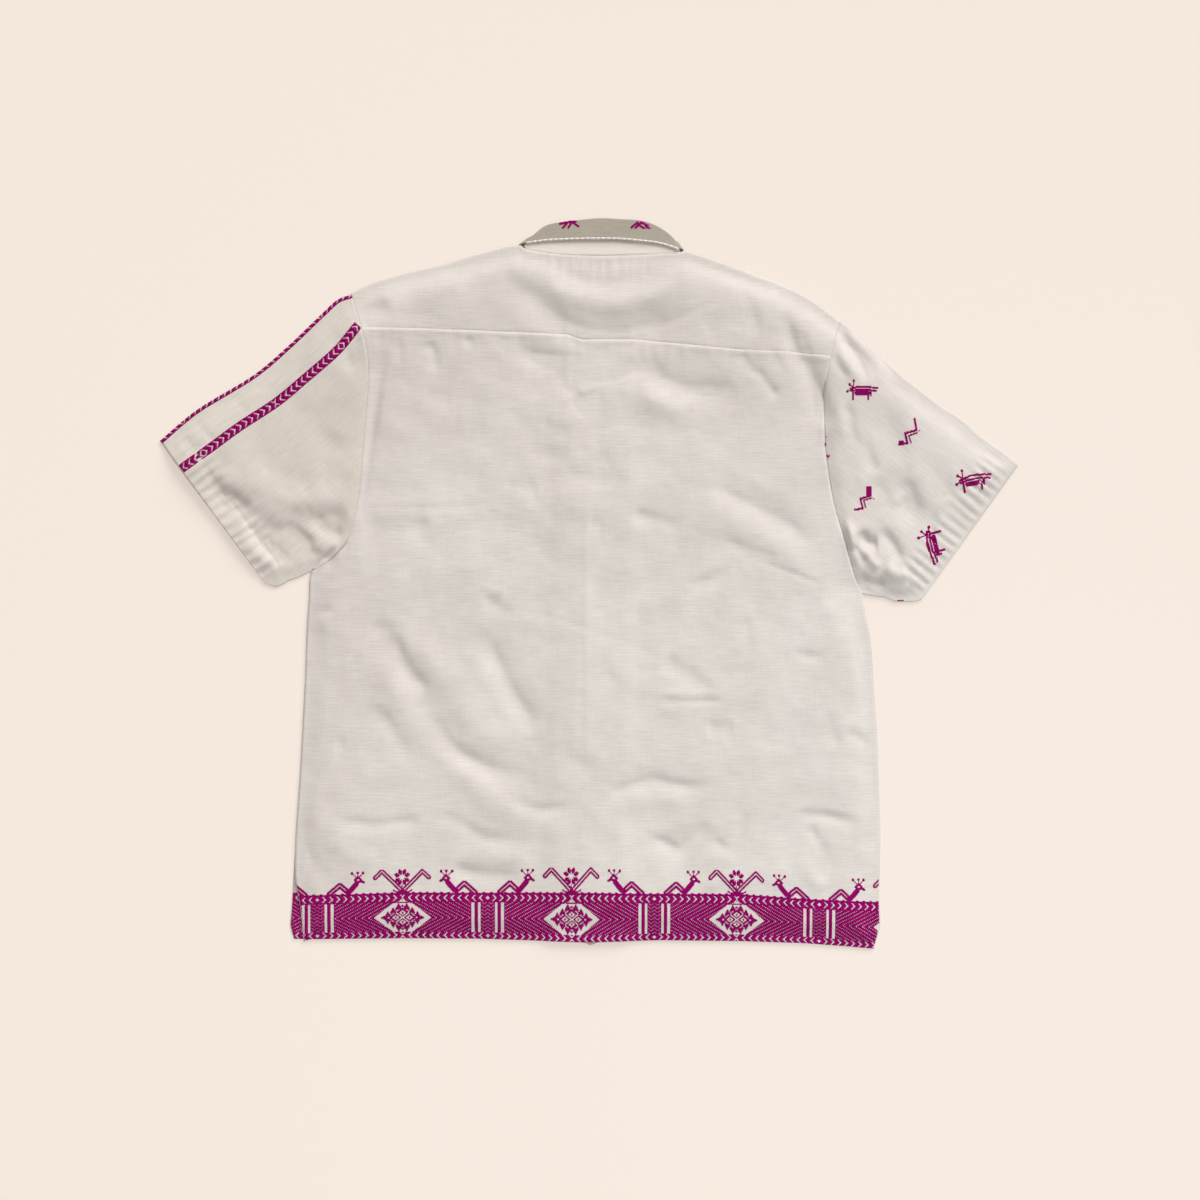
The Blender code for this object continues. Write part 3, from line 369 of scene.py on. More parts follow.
    ([(271, 7.5), (283, 0.5), (295, -0.5)], -1.8, 4),
    ([(283, -6.5), (299, -7.5), (321, -6.5)], 0.9, 4),
    ([(311, 223.5), (336, 195.5), (361, 178.5)], 0.7, 10),
    ([(341, 113.5), (355, 97.5), (361, 83.5)], -0.9, 8),
    ([(283, 183.5), (301, 153.5), (314, 118.5)], -1.5, 13),
    ([(309, 83.5), (326, 67.5), (349, 63.5)], -1.7, 9),
    ([(217, 238.5), (229, 193.5), (235, 153.5)], -1.5, 10),
    ([(-69, 227.5), (-29, 211.5), (31, 207.5), (61, 221.5)], -1.2, 15),
    ([(-381, 95.5), (-349, 75.5), (-314, 53.5), (-279, 38.5)], -2.2, 12),
    ([(-303, 71.5), (-274, 61.5), (-241, 71.5)], -2, 10),
    ([(-351, 51.5), (-324, 23.5), (-287, 9.5)], 0.8, 7),
    ([(-251, 153.5), (-269, 118.5), (-291, 91.5)], -1.2, 12),
    ([(-334, 103.5), (-304, 83.5), (-279, 80.5)], 0.9, 9),
    ([(-384, 113.5), (-367, 91.5), (-349, 77.5)], -0.9, 7),
    ([(111, -300.5), (156, -292.5), (216, -288.5)], 1, 13),
    ([(111, 308.5), (151, 291.5), (186, 271.5)], 0.6, 12),
    ([(-289, 35.5), (-267, 27.5), (-251, 23.5)], -1.4, 5),
    ([(-237, 253.5), (-232, 233.5), (-233, 211.5)], -0.9, 7),
    ([(-193, 271.5), (-169, 265.5), (-149, 271.5)], -0.5, 8),
    ([(-179, 283.5), (-149, 293.5), (-119, 287.5)], 0.5, 10),
    ([(111, 253.5), (141, 265.5), (176, 261.5)], -0.6, 10),
    ([(153, 293.5), (163, 273.5), (168, 249.5)], -0.7, 5),
    ([(-29, 113.5), (-4, 103.5), (23, 107.5)], -0.7, 9),
    ([(-229, 53.5), (-194, 53.5), (-159, 61.5)], -1.1, 16),
    ([(-134, 23.5), (-119, -16.5), (-115, -56.5)], 0.5, 14),
    ([(51, -36.5), (71, -16.5), (111, -11.5)], 0.8, 12),
    ([(151, -116.5), (171, -136.5), (181, -166.5)], -0.6, 10),
    ([(-29, -156.5), (-14, -176.5), (11, -186.5)], -0.5, 9),
]

# Creases close beside the outline, which keep their depth there
EDGE_CREASES = [
    ([(258, 256.5), (273, 239.5), (288, 221.5), (299, 203.5)], 1.8, 5.5),
    ([(251, 250.5), (261, 233.5), (271, 216.5), (279, 199.5)], -2.2, 4.2),
    ([(247, 237.5), (256, 220.5), (266, 203.5)], 0.9, 4.5),
    ([(259, 59.5), (261, 38.5), (268, 17.5)], 1.3, 4),
    ([(-339, 57.5), (-324, 43.5), (-299, 23.5)], -0.9, 4),
    ([(-305, 57.5), (-291, 48.5), (-273, 38.5)], -1, 4),
    ([(-271, 69.5), (-263, 56.5), (-247, 50.5)], -1, 3.4),
    ([(272, 52.5), (279, 42.5), (289, 41.5)], -1.1, 3.4),
    ([(264, 38.5), (271, 27.5), (279, 21.5)], -0.9, 2.8),
    ([(291, 53.5), (304, 37.5), (312, 21.5)], -0.9, 4),
    ([(271, 7.5), (283, 0.5), (297, -0.5)], -0.9, 3),
    ([(295, 16.5), (307, 9.5), (319, 6.5)], 0.8, 4),
]


def smooth(low, high, value):
    """Soft step from 0 at low to 1 at high."""
    t = np.clip((value - low) / (high - low), 0.0, 1.0)
    return t * t * (3.0 - 2.0 * t)


def curve(points, t):
    """Places on the smooth line through a table of rows, at row numbers t."""
    table = np.array(points, float)
    t = np.clip(np.asarray(t, float), 0.0, len(table) - 1.0)
    i = np.minimum(t.astype(int), len(table) - 2)
    f = (t - i)[..., None]
    a, b = table[np.maximum(i - 1, 0)], table[i]
    c, d = table[i + 1], table[np.minimum(i + 2, len(table) - 1)]
    return b + 0.5 * f * (c - a + f * (2 * a - 5 * b + 4 * c - d + f * (3 * (b - c) + d - a)))


def distance(points, x, y):
    """Distance of each place to a line of places, and the share of the line passed there."""
    nearest, share = np.full(np.shape(x), 1e9), np.zeros(np.shape(x))
    count = len(points) - 1
    for i in range(count):
        (ax, ay), (bx, by) = points[i], points[i + 1]
        dx, dy = bx - ax, by - ay
        t = np.clip(((x - ax) * dx + (y - ay) * dy) / (dx * dx + dy * dy), 0.0, 1.0)
        gap = np.hypot(x - ax - dx * t, y - ay - dy * t)
        nearer = gap < nearest
        nearest, share = np.where(nearer, gap, nearest), np.where(nearer, (i + t) / count, share)
    return nearest, share


def lengths_along(line):
    """Length passed at each place of a line, from 0."""
    return np.concatenate([[0.0], np.cumsum(np.hypot(*np.diff(line, axis=0).T))])


def centre_x(y):
    """Middle of the front opening."""
    (ax, ay), (bx, by) = CENTRE_NECK, CENTRE_HEM
    return ax + (bx - ax) * (y - ay) / (by - ay)


def collar_rise(x, y):
    """How far the fronts lie over the collar's points: 1 over them, 0 away from them."""
    across = (x - COLLAR_CENTRE[0]) / COLLAR_HALF[0]
    down = (y - COLLAR_CENTRE[1]) / COLLAR_HALF[1]
    return 1.0 - smooth(1.0, COLLAR_RAMP, np.hypot(across, down))


def under_left(x, y):
    """Height of the underside of the left front, over the buttons and the collar points."""
    buttons = 1.0 - smooth(BUTTON_FLAT, BUTTON_RAMP, abs(x - centre_x(y)))
    neck = smooth(CENTRE_NECK[1] + NECK_FADE, CENTRE_NECK[1], y)
    return np.maximum(LAYER * collar_rise(x, y), BUTTON_LIFT * buttons * neck)


def under_right(x, y):
    """Height of the underside of the right front, over the left one in the lap."""
    lap = 1.0 - smooth(LAP_FLAT, LAP_RAMP, abs(x - centre_x(y)))
    neck = smooth(CENTRE_NECK[1] + NECK_FADE, CENTRE_NECK[1], y)
    lower = np.maximum(under_left(x - BRIDGE, y), under_left(x + BRIDGE, y))
    return np.maximum(lower, under_left(x, y)) + LAYER * lap * neck


def near(points, x, y, reach):
    """Which places lie near a line of places."""
    table = np.array(points)
    low, high = table.min(0) - reach, table.max(0) + reach
    return np.flatnonzero((x > low[0]) & (x < high[0]) & (y > low[1]) & (y < high[1]))


def folds(x, y):
    """Sum of the broad folds."""
    total = np.zeros(x.shape)
    for points, height, half_width in FOLDS:
        here = near(points, x, y, FOLD_SPREAD * half_width)
        gap, share = distance(points, x[here], y[here])
        fade = smooth(0.0, FOLD_END, np.minimum(share, 1.0 - share) + FOLD_BLUNT)
        total[here] += height * fade * (1.0 - smooth(0.0, FOLD_SPREAD * half_width, gap))
    return total


def creases(x, y, table):
    """Sum of fine creases: uneven along their length, and steeper on the lit side."""
    total = np.zeros(x.shape)
    for number, (points, height, half_width) in enumerate(table):
        here = near(points, x, y, CREASE_REACH * half_width)
        if not len(here):
            continue
        px, py = x[here], y[here]
        steps = np.linspace(0.0, len(points) - 1.0, 4 * len(points))
        line = [tuple(place) for place in curve(points, steps)]
        gap, share = distance(line, px, py)
        ahead = distance(line, px + LIT_STEP * LIT_SIDE[0], py + LIT_STEP * LIT_SIDE[1])[0]
        lit = smooth(-LIT_BLEND, LIT_BLEND, ahead - gap)
        width = half_width * (SHADED_WIDTH - LIT_NARROWING * lit if height < 0 else RIDGE_WIDTH)
        ends = smooth(0.0, CREASE_END, np.minimum(share, 1.0 - share) + CREASE_BLUNT)
        uneven = 1.0 + CREASE_UNEVEN * np.sin(6.3 * share * len(points) / 3.0 + 2.1 * number)
        total[here] += CREASE_GAIN * height * ends * uneven * np.exp(-((gap / width) ** 2))
    return total


def rolls(x, y):
    """Low swell where the shirt turns over its shoulders and its right side."""
    height, crest, foot = SHOULDER_ROLL
    top = distance(SHOULDER_LINE, x, y)[0]
    bulge = height * smooth(0.0, crest, top) * (1.0 - smooth(crest, foot, top))
    less, half_width = NECK_FLATTENS
    bulge = bulge * (1.0 - less * np.exp(-(((x - CENTRE_NECK[0]) / half_width) ** 2)))
    height, crest, foot = SIDE_ROLL
    side = distance(RIGHT_SIDE, x, y)[0]
    upper = smooth(*SIDE_ROLL_ENDS, y)
    return bulge + height * upper * smooth(0.0, crest, side) * (1.0 - smooth(crest, foot, side))


def crumple(x, y, size, seed):
    """Even noise between -1 and 1 with features about size across."""
    flat = zip(np.ravel(x) / size, np.ravel(y) / size)
    values = [noise.noise(Vector((a, b, seed))) for a, b in flat]
    return np.reshape(values, np.shape(x))


def along_line(x, line):
    """Place in y of a line that runs from left to right."""
    return np.interp(x, [p[0] for p in line], [p[1] for p in line])


def hem_bottom(x):
    """Lower edge of the back."""
    return along_line(x, HEM)


BAND_TOP = [
    (-294, -312.5), (-279, -311.5), (-187, -308.5), (1, -308.5),
    (51, -309.5), (151, -310), (211, -314.5), (291, -318.5),
]


def hem_top(x):
    """Upper edge of the brocade band on the back."""
    return along_line(x, BAND_TOP)


CUFF_LEFT = SLEEVE_LEFT[-1]
CUFF_RIGHT = SLEEVE_RIGHT[-1]
HEM_STITCH = 21.0
GROOVE_DEPTH = 0.9
GROOVE_HALF = 1.5
TURNED_LIFT = 0.35
# Ripples of the cuffs: distance from one to the next, depth
RIPPLES_LEFT = (10.5, 1.6)
RIPPLES_RIGHT = (9.5, 1.55)


def cuff_ripples(line, x, y, pitch, depth):
    """Turned hem of a sleeve: its stitch groove and the ripples that the stitching draws up."""
    (ax, ay), (bx, by) = line
    reach = math.hypot(bx - ax, by - ay)
    along = ((x - ax) * (bx - ax) + (y - ay) * (by - ay)) / reach
    away = abs((x - ax) * (by - ay) - (y - ay) * (bx - ax)) / reach
    wander = 0.9 * crumple(along, away * 0.35, 24.0, pitch)
    wave = np.sin(2.0 * math.pi * along / pitch + 2.6 * wander)
    swell = 0.65 + 0.6 * crumple(along, away, 30.0, pitch + 5.0)
    ends = smooth(2.0, 14.0, along) * smooth(2.0, 14.0, reach - along)
    rows = smooth(-4.0, 6.0, away) * (1.0 - smooth(HEM_STITCH + 2.0, HEM_STITCH + 20.0, away))
    groove = GROOVE_DEPTH * np.exp(-(((away - HEM_STITCH) / GROOVE_HALF) ** 2))
    turned = TURNED_LIFT * (1.0 - smooth(HEM_STITCH - 1.5, HEM_STITCH + 1.0, away))
    return ends * (depth * swell * wave * rows - groove + turned)


SEAM_GATHER_PITCH = 13.0
NECK_GATHER_PITCH = 10.0
NECK_GATHER_DEPTH = 0.95
NECK_GATHER_X = 9.0


def seam_puckers(x, y):
    """Small gathers below the yoke seam and round the back neck."""
    below = along_line(x, YOKE_SEAM) - y
    wave = np.sin(2.0 * math.pi * x / SEAM_GATHER_PITCH + 3.0 * crumple(x, y * 0.2, 30.0, 3.0))
    amount = 0.5 + crumple(x, y * 0.1, 45.0, 9.0)
    rows = smooth(-9.0, 1.0, below) * (1.0 - smooth(7.0, 30.0, below))
    across = smooth(YOKE_SEAM[0][0], YOKE_SEAM[0][0] + 20.0, x)
    gathers = 0.22 * wave * np.clip(amount, 0.0, 1.2) + 0.3 * crumple(x, y * 0.6, 17.0, 14.0)
    total = gathers * rows * across
    neck_line = [place for place, _ in YOKE_COLUMNS[NECK_LEFT:NECK_RIGHT + 1]]
    neck_gap = distance(neck_line, x, y)[0]
    wander = 2.5 * crumple(x, y * 0.3, 22.0, 5.0)
    neck_wave = np.sin(2.0 * math.pi * x / NECK_GATHER_PITCH + wander)
    centred = 1.0 - smooth(30.0, 74.0, abs(x - NECK_GATHER_X))
    neck_amount = NECK_GATHER_DEPTH * (0.7 + 0.8 * crumple(x, y * 0.3, 24.0, 12.0)) * centred
    below_neck = 1.0 - smooth(9.0, 34.0, neck_gap)
    return total + neck_amount * neck_wave * smooth(0.0, 4.0, neck_gap) * below_neck


def top_of_cloth(x, y):
    """Height of the top side of the upper layer: back, yoke and sleeve tops."""
    x, y = np.asarray(x, float), np.asarray(y, float)
    inside = distance(SILHOUETTE, x, y)[0]
    edge = smooth(*EDGE_FADE, inside)
    fronts = under_right(x, y)
    for across, down in ((-BRIDGE, 0), (BRIDGE, 0), (0, -BRIDGE), (0, BRIDGE)):
        fronts = np.maximum(fronts, under_right(x + across, y + down * edge))
    puff = PUFF * smooth(0.0, PUFF_REACH, inside) + LOFT * smooth(0.0, LOFT_REACH, inside)
    air = np.maximum(puff - SETTLE * fronts, 0.0)
    soft = FOLD_GAIN * folds(x, y) + creases(x, y, CREASES) + rolls(x, y)
    for height, size, seed in CRUMPLES:
        soft = soft + height * crumple(x, y, size, seed)
    form = fronts + LAYER + air + edge * np.maximum(soft, FOLD_CLEARANCE - air)
    height, size, seed = FINE_CRUMPLE
    fine = height * crumple(x, y, size, seed)
    fine = fine + seam_puckers(x, y) + creases(x, y, EDGE_CREASES)
    fine = fine + cuff_ripples(CUFF_LEFT, x, y, *RIPPLES_LEFT) * (x < ARMHOLE_LEFT[-1][0])
    fine = fine + cuff_ripples(CUFF_RIGHT, x, y, *RIPPLES_RIGHT) * (x > ARMHOLE_RIGHT[0][0])
    return form + WALL + smooth(0.0, FINE_REACH, inside) * fine


def cloth_piece(name, columns, rows, shape, finish, offset=-1.0, gone=None, closed=False):
    """A cloth wall on a grid: shape gives x, y, z and the two weave coordinates in millimetres."""
    grid = bmesh.new()
    bmesh.ops.create_grid(grid, x_segments=columns, y_segments=rows, size=0.5)
    corners = np.array([vertex.co[:2] for vertex in grid.verts]) + 0.5
    column = np.rint(corners[:, 0] * columns).astype(int)
    row = np.rint(corners[:, 1] * rows).astype(int)
    x, y, z, weft, warp = shape(column, row)
    weave = grid.loops.layers.uv.new("weave")
    for number, vertex in enumerate(grid.verts):
        vertex.co = Vector((x[number], y[number], z[number])) * MM
        for loop in vertex.link_loops:
            loop[weave].uv = (weft[number] * MM, warp[number] * MM)
    if gone:
        open_place = gone(column, row)
        slots = {vertex: open_place[number] for number, vertex in enumerate(grid.verts)}
        faces = [face for face in grid.faces if all(slots[vertex] for vertex in face.verts)]
        bmesh.ops.delete(grid, geom=faces, context="FACES")
    if closed:
        bmesh.ops.remove_doubles(grid, verts=grid.verts[:], dist=1e-6)
    for face in grid.faces:
        face.smooth = True
    mesh = bpy.data.meshes.new(name)
    grid.to_mesh(mesh)
    grid.free()
    mesh.materials.append(finish)
    piece = bpy.data.objects.new(name, mesh)
    bpy.context.scene.collection.objects.link(piece)
    wall = piece.modifiers.new("cloth", "SOLIDIFY")
    wall.thickness = CLOTH * MM
    wall.offset = offset
    wall.use_even_offset = False
    return piece


# Pieces of cloth

BACK_GRID = (204, 214)
YOKE_GRID = (150, 26, 6, 6)
SLEEVE_GRID = (74, 30, 64)
FRONT_GRID = (60, 120)
TUCK = 3.0
# The back's upper edge: height of its lap on the yoke, turn of the edge, place where the lap breaks
LAP_HEIGHT = 0.6
LAP_TURN = 0.55
YOKE_BREAK_X = -13.0
YOKE_BREAK_HALF = 20.0
# Fronts: places in y over which the turned band rises and the hem follows the back's hem
FRONT_BAND = (-312.0, -316.0)
BAND_LIFT = 0.3
HEM_FOLLOWS = (-260.0, -350.0)


def back_shape(column, row):
    """The back: between the sides and armholes, from the hem to just over the yoke seam."""
    lefts = np.array([left for left, _ in SIDES][::-1] + ARMHOLE_LEFT[-2:YOKE_ROW - 1:-1])
    rights = np.array([right for _, right in SIDES][::-1] + ARMHOLE_RIGHT[-2:YOKE_ROW - 1:-1])
    rows = len(lefts) - 1
    t = rows * row / BACK_GRID[1]
    share = (column / BACK_GRID[0])[:, None]
    place = curve(lefts, t) * (1.0 - share) + curve(rights, t) * share
    x, y = place[:, 0], place[:, 1]
    hem_chord = along_line(x, [HEM[0], HEM[-1]])
    seam_chord = along_line(x, [YOKE_SEAM[0], YOKE_SEAM[-1]])
    y = y + smooth(5.0, 0.0, t) * (hem_bottom(x) - hem_chord)
    y = y + smooth(rows - 6.0, rows, t) * (along_line(x, YOKE_SEAM) - seam_chord)
    lapped = smooth(BACK_GRID[1] - 4.5, BACK_GRID[1] - 1.0, row)
    rolled = smooth(BACK_GRID[1] - 1.0, BACK_GRID[1], row)
    broken = 1.0 - 0.85 * np.exp(-(((x - YOKE_BREAK_X) / YOKE_BREAK_HALF) ** 2))
    beside_sleeve = y > ARMHOLE_LEFT[-1][1]
    at_left = (column == 0) & beside_sleeve
    at_right = (column == BACK_GRID[0]) & beside_sleeve
    z = top_of_cloth(x, y) + LAP_HEIGHT * lapped * broken - LAP_TURN * rolled
    z = z - 0.4 * at_right - 1.0 * at_left
    return x - 2.0 * at_left, y + rolled, z, x, y


def yoke_fold(t):
    """Shoulder fold and back neck at column numbers t, each stretch smooth by itself."""
    tops = [place for place, _ in YOKE_COLUMNS]
    left = curve(tops[:NECK_LEFT + 1], t)
    neck = curve(tops[NECK_LEFT:NECK_RIGHT + 1], t - NECK_LEFT)
    right = curve(tops[NECK_RIGHT:], t - NECK_RIGHT)
    place = np.where((t <= NECK_LEFT)[:, None], left, neck)
    return np.where((t >= NECK_RIGHT)[:, None], right, place)


def yoke_shape(column, row):
    """The yoke: up the back to the shoulder fold, round it and a little way down the fronts."""
    columns, back_rows, turn_rows, front_rows = YOKE_GRID
    t = (len(YOKE_COLUMNS) - 1) * column / columns
    fold = yoke_fold(t)
    seam_x = np.interp(t, range(len(YOKE_COLUMNS)), [x for _, x in YOKE_COLUMNS])
    seam = np.stack([seam_x, along_line(seam_x, YOKE_SEAM)], axis=1)
    reach = np.hypot(*(fold - seam).T)
    neck = (t > NECK_LEFT) & (t < NECK_RIGHT)
    inset = np.where(neck, SEAM_GAP, FOLD_RADIUS)
    share = np.minimum(row / back_rows, 1.0) * (1.0 - inset / reach)
    place = seam + (fold - seam) * share[:, None]
    x, y = place[:, 0], place[:, 1]
    under_back = 1.0 - smooth(0.0, 1.0, row)
    z = top_of_cloth(x, y) - under_back
    y = y - TUCK * under_back
    turn = math.pi * np.clip((row - back_rows) / turn_rows, 0.0, 1.0)
    round_share = FOLD_RADIUS * (1.0 - np.sin(turn)) / reach
    turned = fold + (seam - fold) * round_share[:, None]
    turned_z = under_left(turned[:, 0], turned[:, 1]) + FOLD_RADIUS * (1.0 + np.cos(turn))
    front = np.clip((row - back_rows - turn_rows) / front_rows, 0.0, 1.0)
    front_x = turned[:, 0] + front * np.where(t < 14.0, 6.0, -6.0)
    front_y = turned[:, 1] - front * (YOKE_WRAP - FOLD_RADIUS)
    on_turn, on_front = row > back_rows, row > back_rows + turn_rows
    x = np.where(on_front, front_x, np.where(on_turn, turned[:, 0], x))
    y = np.where(on_front, front_y, np.where(on_turn, turned[:, 1], y))
    z = np.where(on_front, under_left(front_x, front_y), np.where(on_turn, turned_z, z))
    return x, y, z, x, np.where(on_turn, 2.0 * fold[:, 1] - y, y)


def yoke_open(column, row):
    """Where the yoke has no cloth past the neck seam."""
    t = (len(YOKE_COLUMNS) - 1) * column / YOKE_GRID[0]
    return (t >= NECK_LEFT) & (t <= NECK_RIGHT) & (row >= YOKE_GRID[1])


HEM_PEEK_X = 2.0
PEEK_DEPTH = 3.4
PEEK_HALF = 6.0


def front_hem(table, x):
    """Lower edge of a front, just hidden by the back's hem but for a sliver near the centre."""
    own = along_line(x, sorted(table[-1]))
    peek = PEEK_DEPTH * np.exp(-(((x - HEM_PEEK_X) / PEEK_HALF) ** 2))
    hidden = np.maximum(own, hem_bottom(x) + 1.0 - peek)
    return np.where(x < HEM[0][0] + 3.0, own, hidden), own


def front_shape(table, under, side):
    """A front, lying on what is under it."""

    def shape(column, row):
        t = (len(table) - 1) * (1.0 - row / FRONT_GRID[1])
        share = column / FRONT_GRID[0] if side > 0 else 1.0 - column / FRONT_GRID[0]
        outer = curve([edge for edge, _ in table], t)
        inner = curve([edge for _, edge in table], t)
        place = outer + (inner - outer) * share[:, None]
        x, y = place[:, 0], place[:, 1]
        band = smooth(*FRONT_BAND, y)
        hem, own = front_hem(table, x)
        y = y + smooth(*HEM_FOLLOWS, y) * (hem - own)
        return x, y, under(x, y) + BAND_LIFT * band, x, y

    return shape


def sleeve_ring():
    """Slots round a sleeve: top fold, upper layer, underarm fold, lower layer, then the first again."""
    upper, lower = SLEEVE_GRID[0], SLEEVE_GRID[1]
    angles = (-90, -60, -30, 0, 30, 60, 90)
    ring = [("top", angle) for angle in angles]
    ring += [("upper", share) for share in np.linspace(0.012, 0.988, upper)]
    ring += [("under", -angle) for angle in angles]
    ring += [("lower", share) for share in np.linspace(0.985, 0.015, lower)]
    return ring + ring[:1]


# Depth, reach and fading places in y of the hollow where the right sleeve passes under the back
RECESS = (2.3, 7.0, 178.5, 143.5)
LOWER_WARP = 900.0


def sleeve_shape(table, armhole, side, grain):
    """A sleeve, flat between its top fold and its underarm fold; grain turns its weave."""
    ring = sleeve_ring()
    lengths = lengths_along(np.array(armhole))
    armhole_rows = lambda share: np.interp(share, lengths / lengths[-1], range(len(armhole)))

    def shape(column, row):
        order = len(ring) - 1 - column if side < 0 else column
        kinds = np.array([kind for kind, _ in ring])[order]
        values = np.array([value for _, value in ring], float)[order]
        t = (len(table) - 1) * row / SLEEVE_GRID[2]
        top = curve([edge for edge, _ in table], t)
        under = curve([edge for _, edge in table], t)
        across = under - top
        reach = np.hypot(*across.T)
        at_top, at_under, upper = kinds == "top", kinds == "under", kinds == "upper"
        on_fold = at_top | at_under
        angle = np.radians(np.where(on_fold, values, 0.0))
        inset = FOLD_RADIUS * (1.0 - np.cos(angle)) / reach
        share = np.where(at_top, inset, np.where(at_under, 1.0 - inset, values))
        place = top + across * share[:, None]
        bow = np.maximum(0.0, 1.0 - t / ARMHOLE_BOW_SECTIONS)
        bow = bow * smooth(0.0, 0.03, share) * smooth(1.0, 0.97, share)
        chord = np.array(armhole[0]) * (1.0 - share[:, None]) + np.array(armhole[-1]) * share[:, None]
        place = place + bow[:, None] * (curve(armhole, armhole_rows(share)) - chord)
        x, y = place[:, 0], place[:, 1]
        tucked = (1.0 - smooth(0.0, 1.0, row)) * upper
        depth, reach_in, fade_from, fade_to = RECESS
        hollow = np.exp(-((distance(armhole, x, y)[0] / reach_in) ** 2))
        recess = depth * hollow * smooth(fade_from, fade_to, y)
        lap = (-1.0 * tucked - recess) if side > 0 else 0.25 * tucked
        z = np.where(upper, np.maximum(top_of_cloth(x, y) + lap, LAYER + 0.5), 0.0)
        z = np.where(on_fold, FOLD_RADIUS * (1.0 + np.sin(angle)), z)
        overlap = -TUCK * 0.7 if side > 0 else 0.7
        x = x + np.where(row == 0, np.where(upper, overlap, side * SEAM_GAP), 0.0)
        turn = math.radians(grain)
        weft = x * math.cos(turn) + y * math.sin(turn)
        warp = y * math.cos(turn) - x * math.sin(turn)
        return x, y, z, weft, np.where(kinds == "lower", LOWER_WARP - warp, warp)

    return shape


COLLAR_GRID = (190, 36)
COLLAR_EDGE = {
    7: (-67, 333.5), 8: (-67.5, 335), 9: (-68, 336.5), 10: (-67.5, 337.9), 11: (-62, 340.1),
    12: (-44, 342.6), 13: (-28, 343.5), 14: (-9, 344.1), 15: (11, 344.3), 16: (31, 344),
    17: (52, 342.2), 18: (68, 340.3), 19: (82, 336.7), 20: (89, 333.9), 21: (92, 332.5),
    22: (92.5, 331), 23: (93, 328.5),
}
COLLAR_REST = 0.22
COLLAR_JOIN_X = 17.0
# Shares of the collar's depth, from its neck seam: stand, roll and fall
STAND_SHARE = 0.38
ROLL_SHARE = 0.16
FALL_START = 0.54
FALL_SHARE = 0.46
COLLAR_DEPTH = 60.0
# Share of the collar's depth, from its neck seam, that gets the stand's lighter cream, painted light
# against the fall's shade
STAND_CLOTH_END = 0.42
RISE_CURVE = 1.15
COLLAR_CRUMPLE = (0.35, 26.0, 11.0)


def collar_path(t):
    """Seam, roll, edge, turn and rise of the collar at station numbers t."""
    table = []
    for station, (seam, roll, edge, turn, rise) in enumerate(COLLAR):
        table.append((*seam, *roll, *COLLAR_EDGE.get(station, edge), turn, COLLAR_REST * rise))
    return curve(table, t)


def collar_shape(column, row):
    """The collar: up its stand, over the roll and down its fall, flat where it lies on the table."""
    facts = collar_path((len(COLLAR) - 1) * column / COLLAR_GRID[0])
    seam, roll, edge = facts[:, 0:2], facts[:, 2:4], facts[:, 4:6]
    bend, rise = np.radians(np.clip(facts[:, 6], -90.0, 90.0)), facts[:, 7]
    middle = LAYER / 2.0
    up = roll - seam
    stand = np.hypot(*up.T)[:, None]
    up = up / stand
    stand_end = roll - up * middle
    profile = row / COLLAR_GRID[1]
    in_stand = np.clip(profile / STAND_SHARE, 0.0, 1.0)[:, None]
    in_roll = np.clip((profile - STAND_SHARE) / ROLL_SHARE, 0.0, 1.0)
    in_fall = np.clip((profile - FALL_START) / FALL_SHARE, 0.0, 1.0)
    angle = math.pi * (in_roll - 0.5)
    base = seam + (stand_end - seam) * in_stand
    base = base + up * (middle * np.cos(angle) * (in_roll > 0.0) * (in_roll < 1.0))[:, None]
    base = base + (edge - stand_end) * in_fall[:, None]
    level = middle * (2.0 + np.sin(angle))
    side = np.where(seam[:, 0] < COLLAR_CENTRE[0], -1.0, 1.0)
    outward = np.stack([side * COLLAR_OUT[0], np.full(len(side), COLLAR_OUT[1])], axis=1)
    place = base + outward * (level * np.cos(bend))[:, None]
    on_back = smooth(0.5, 1.0, np.sin(bend))
    under_yoke = (1.0 - smooth(0.0, 0.06, profile)) * on_back
    place = place - up * (1.6 * under_yoke)[:, None]
    x, y = place[:, 0], place[:, 1]
    height, size, seed = COLLAR_CRUMPLE
    soft = height * crumple(x, y, size, seed) * in_fall * on_back
    seam_line = 0.35 * np.exp(-(((x - COLLAR_JOIN_X) / 1.3) ** 2)) * in_fall * on_back
    z = 2.0 * LAYER - SEAM_GAP / 2.0 + level * np.sin(bend)
    z = z + rise * in_fall ** RISE_CURVE + soft - seam_line
    z = z - 0.55 * on_back * (1.0 - smooth(0.0, 0.34, profile))
    return x, y, z, x, COLLAR_DEPTH * profile


# Materials

# Noise of the weave: scale, detail and roughness of its weft, warp, small clouds, wide clouds, threads
WEAVE_NOISE = [
    ((45.0, 700.0, 1.0), 3.0, 0.6),
    ((800.0, 50.0, 1.0), 3.0, 0.6),
    ((28.0, 36.0, 1.0), 4.0, 0.6),
    ((6.5, 7.5, 1.0), 2.0, 0.5),
    ((1100.0, 1500.0, 1.0), 1.0, 0.5),
]
WEAVE_DEPTH = 0.00035
FIBRE_DEPTH = 0.00012
MARBLE_DEPTH = 0.00005
CLOTH_SURFACE = {
    "Roughness": 0.9,
    "Specular IOR Level": 0.22,
    "Sheen Weight": 0.12,
    "Sheen Roughness": 0.6,
}
YARN_SURFACE = {"Specular IOR Level": 0.08, "Roughness": 0.75}
FLOOR_SURFACE = {
    "Base Color": (0.33, 0.295, 0.27, 1.0),
    "Emission Color": (0.92, 0.815, 0.735, 1.0),
    "Emission Strength": 0.622,
    "Roughness": 0.95,
    "Specular IOR Level": 0.05,
}

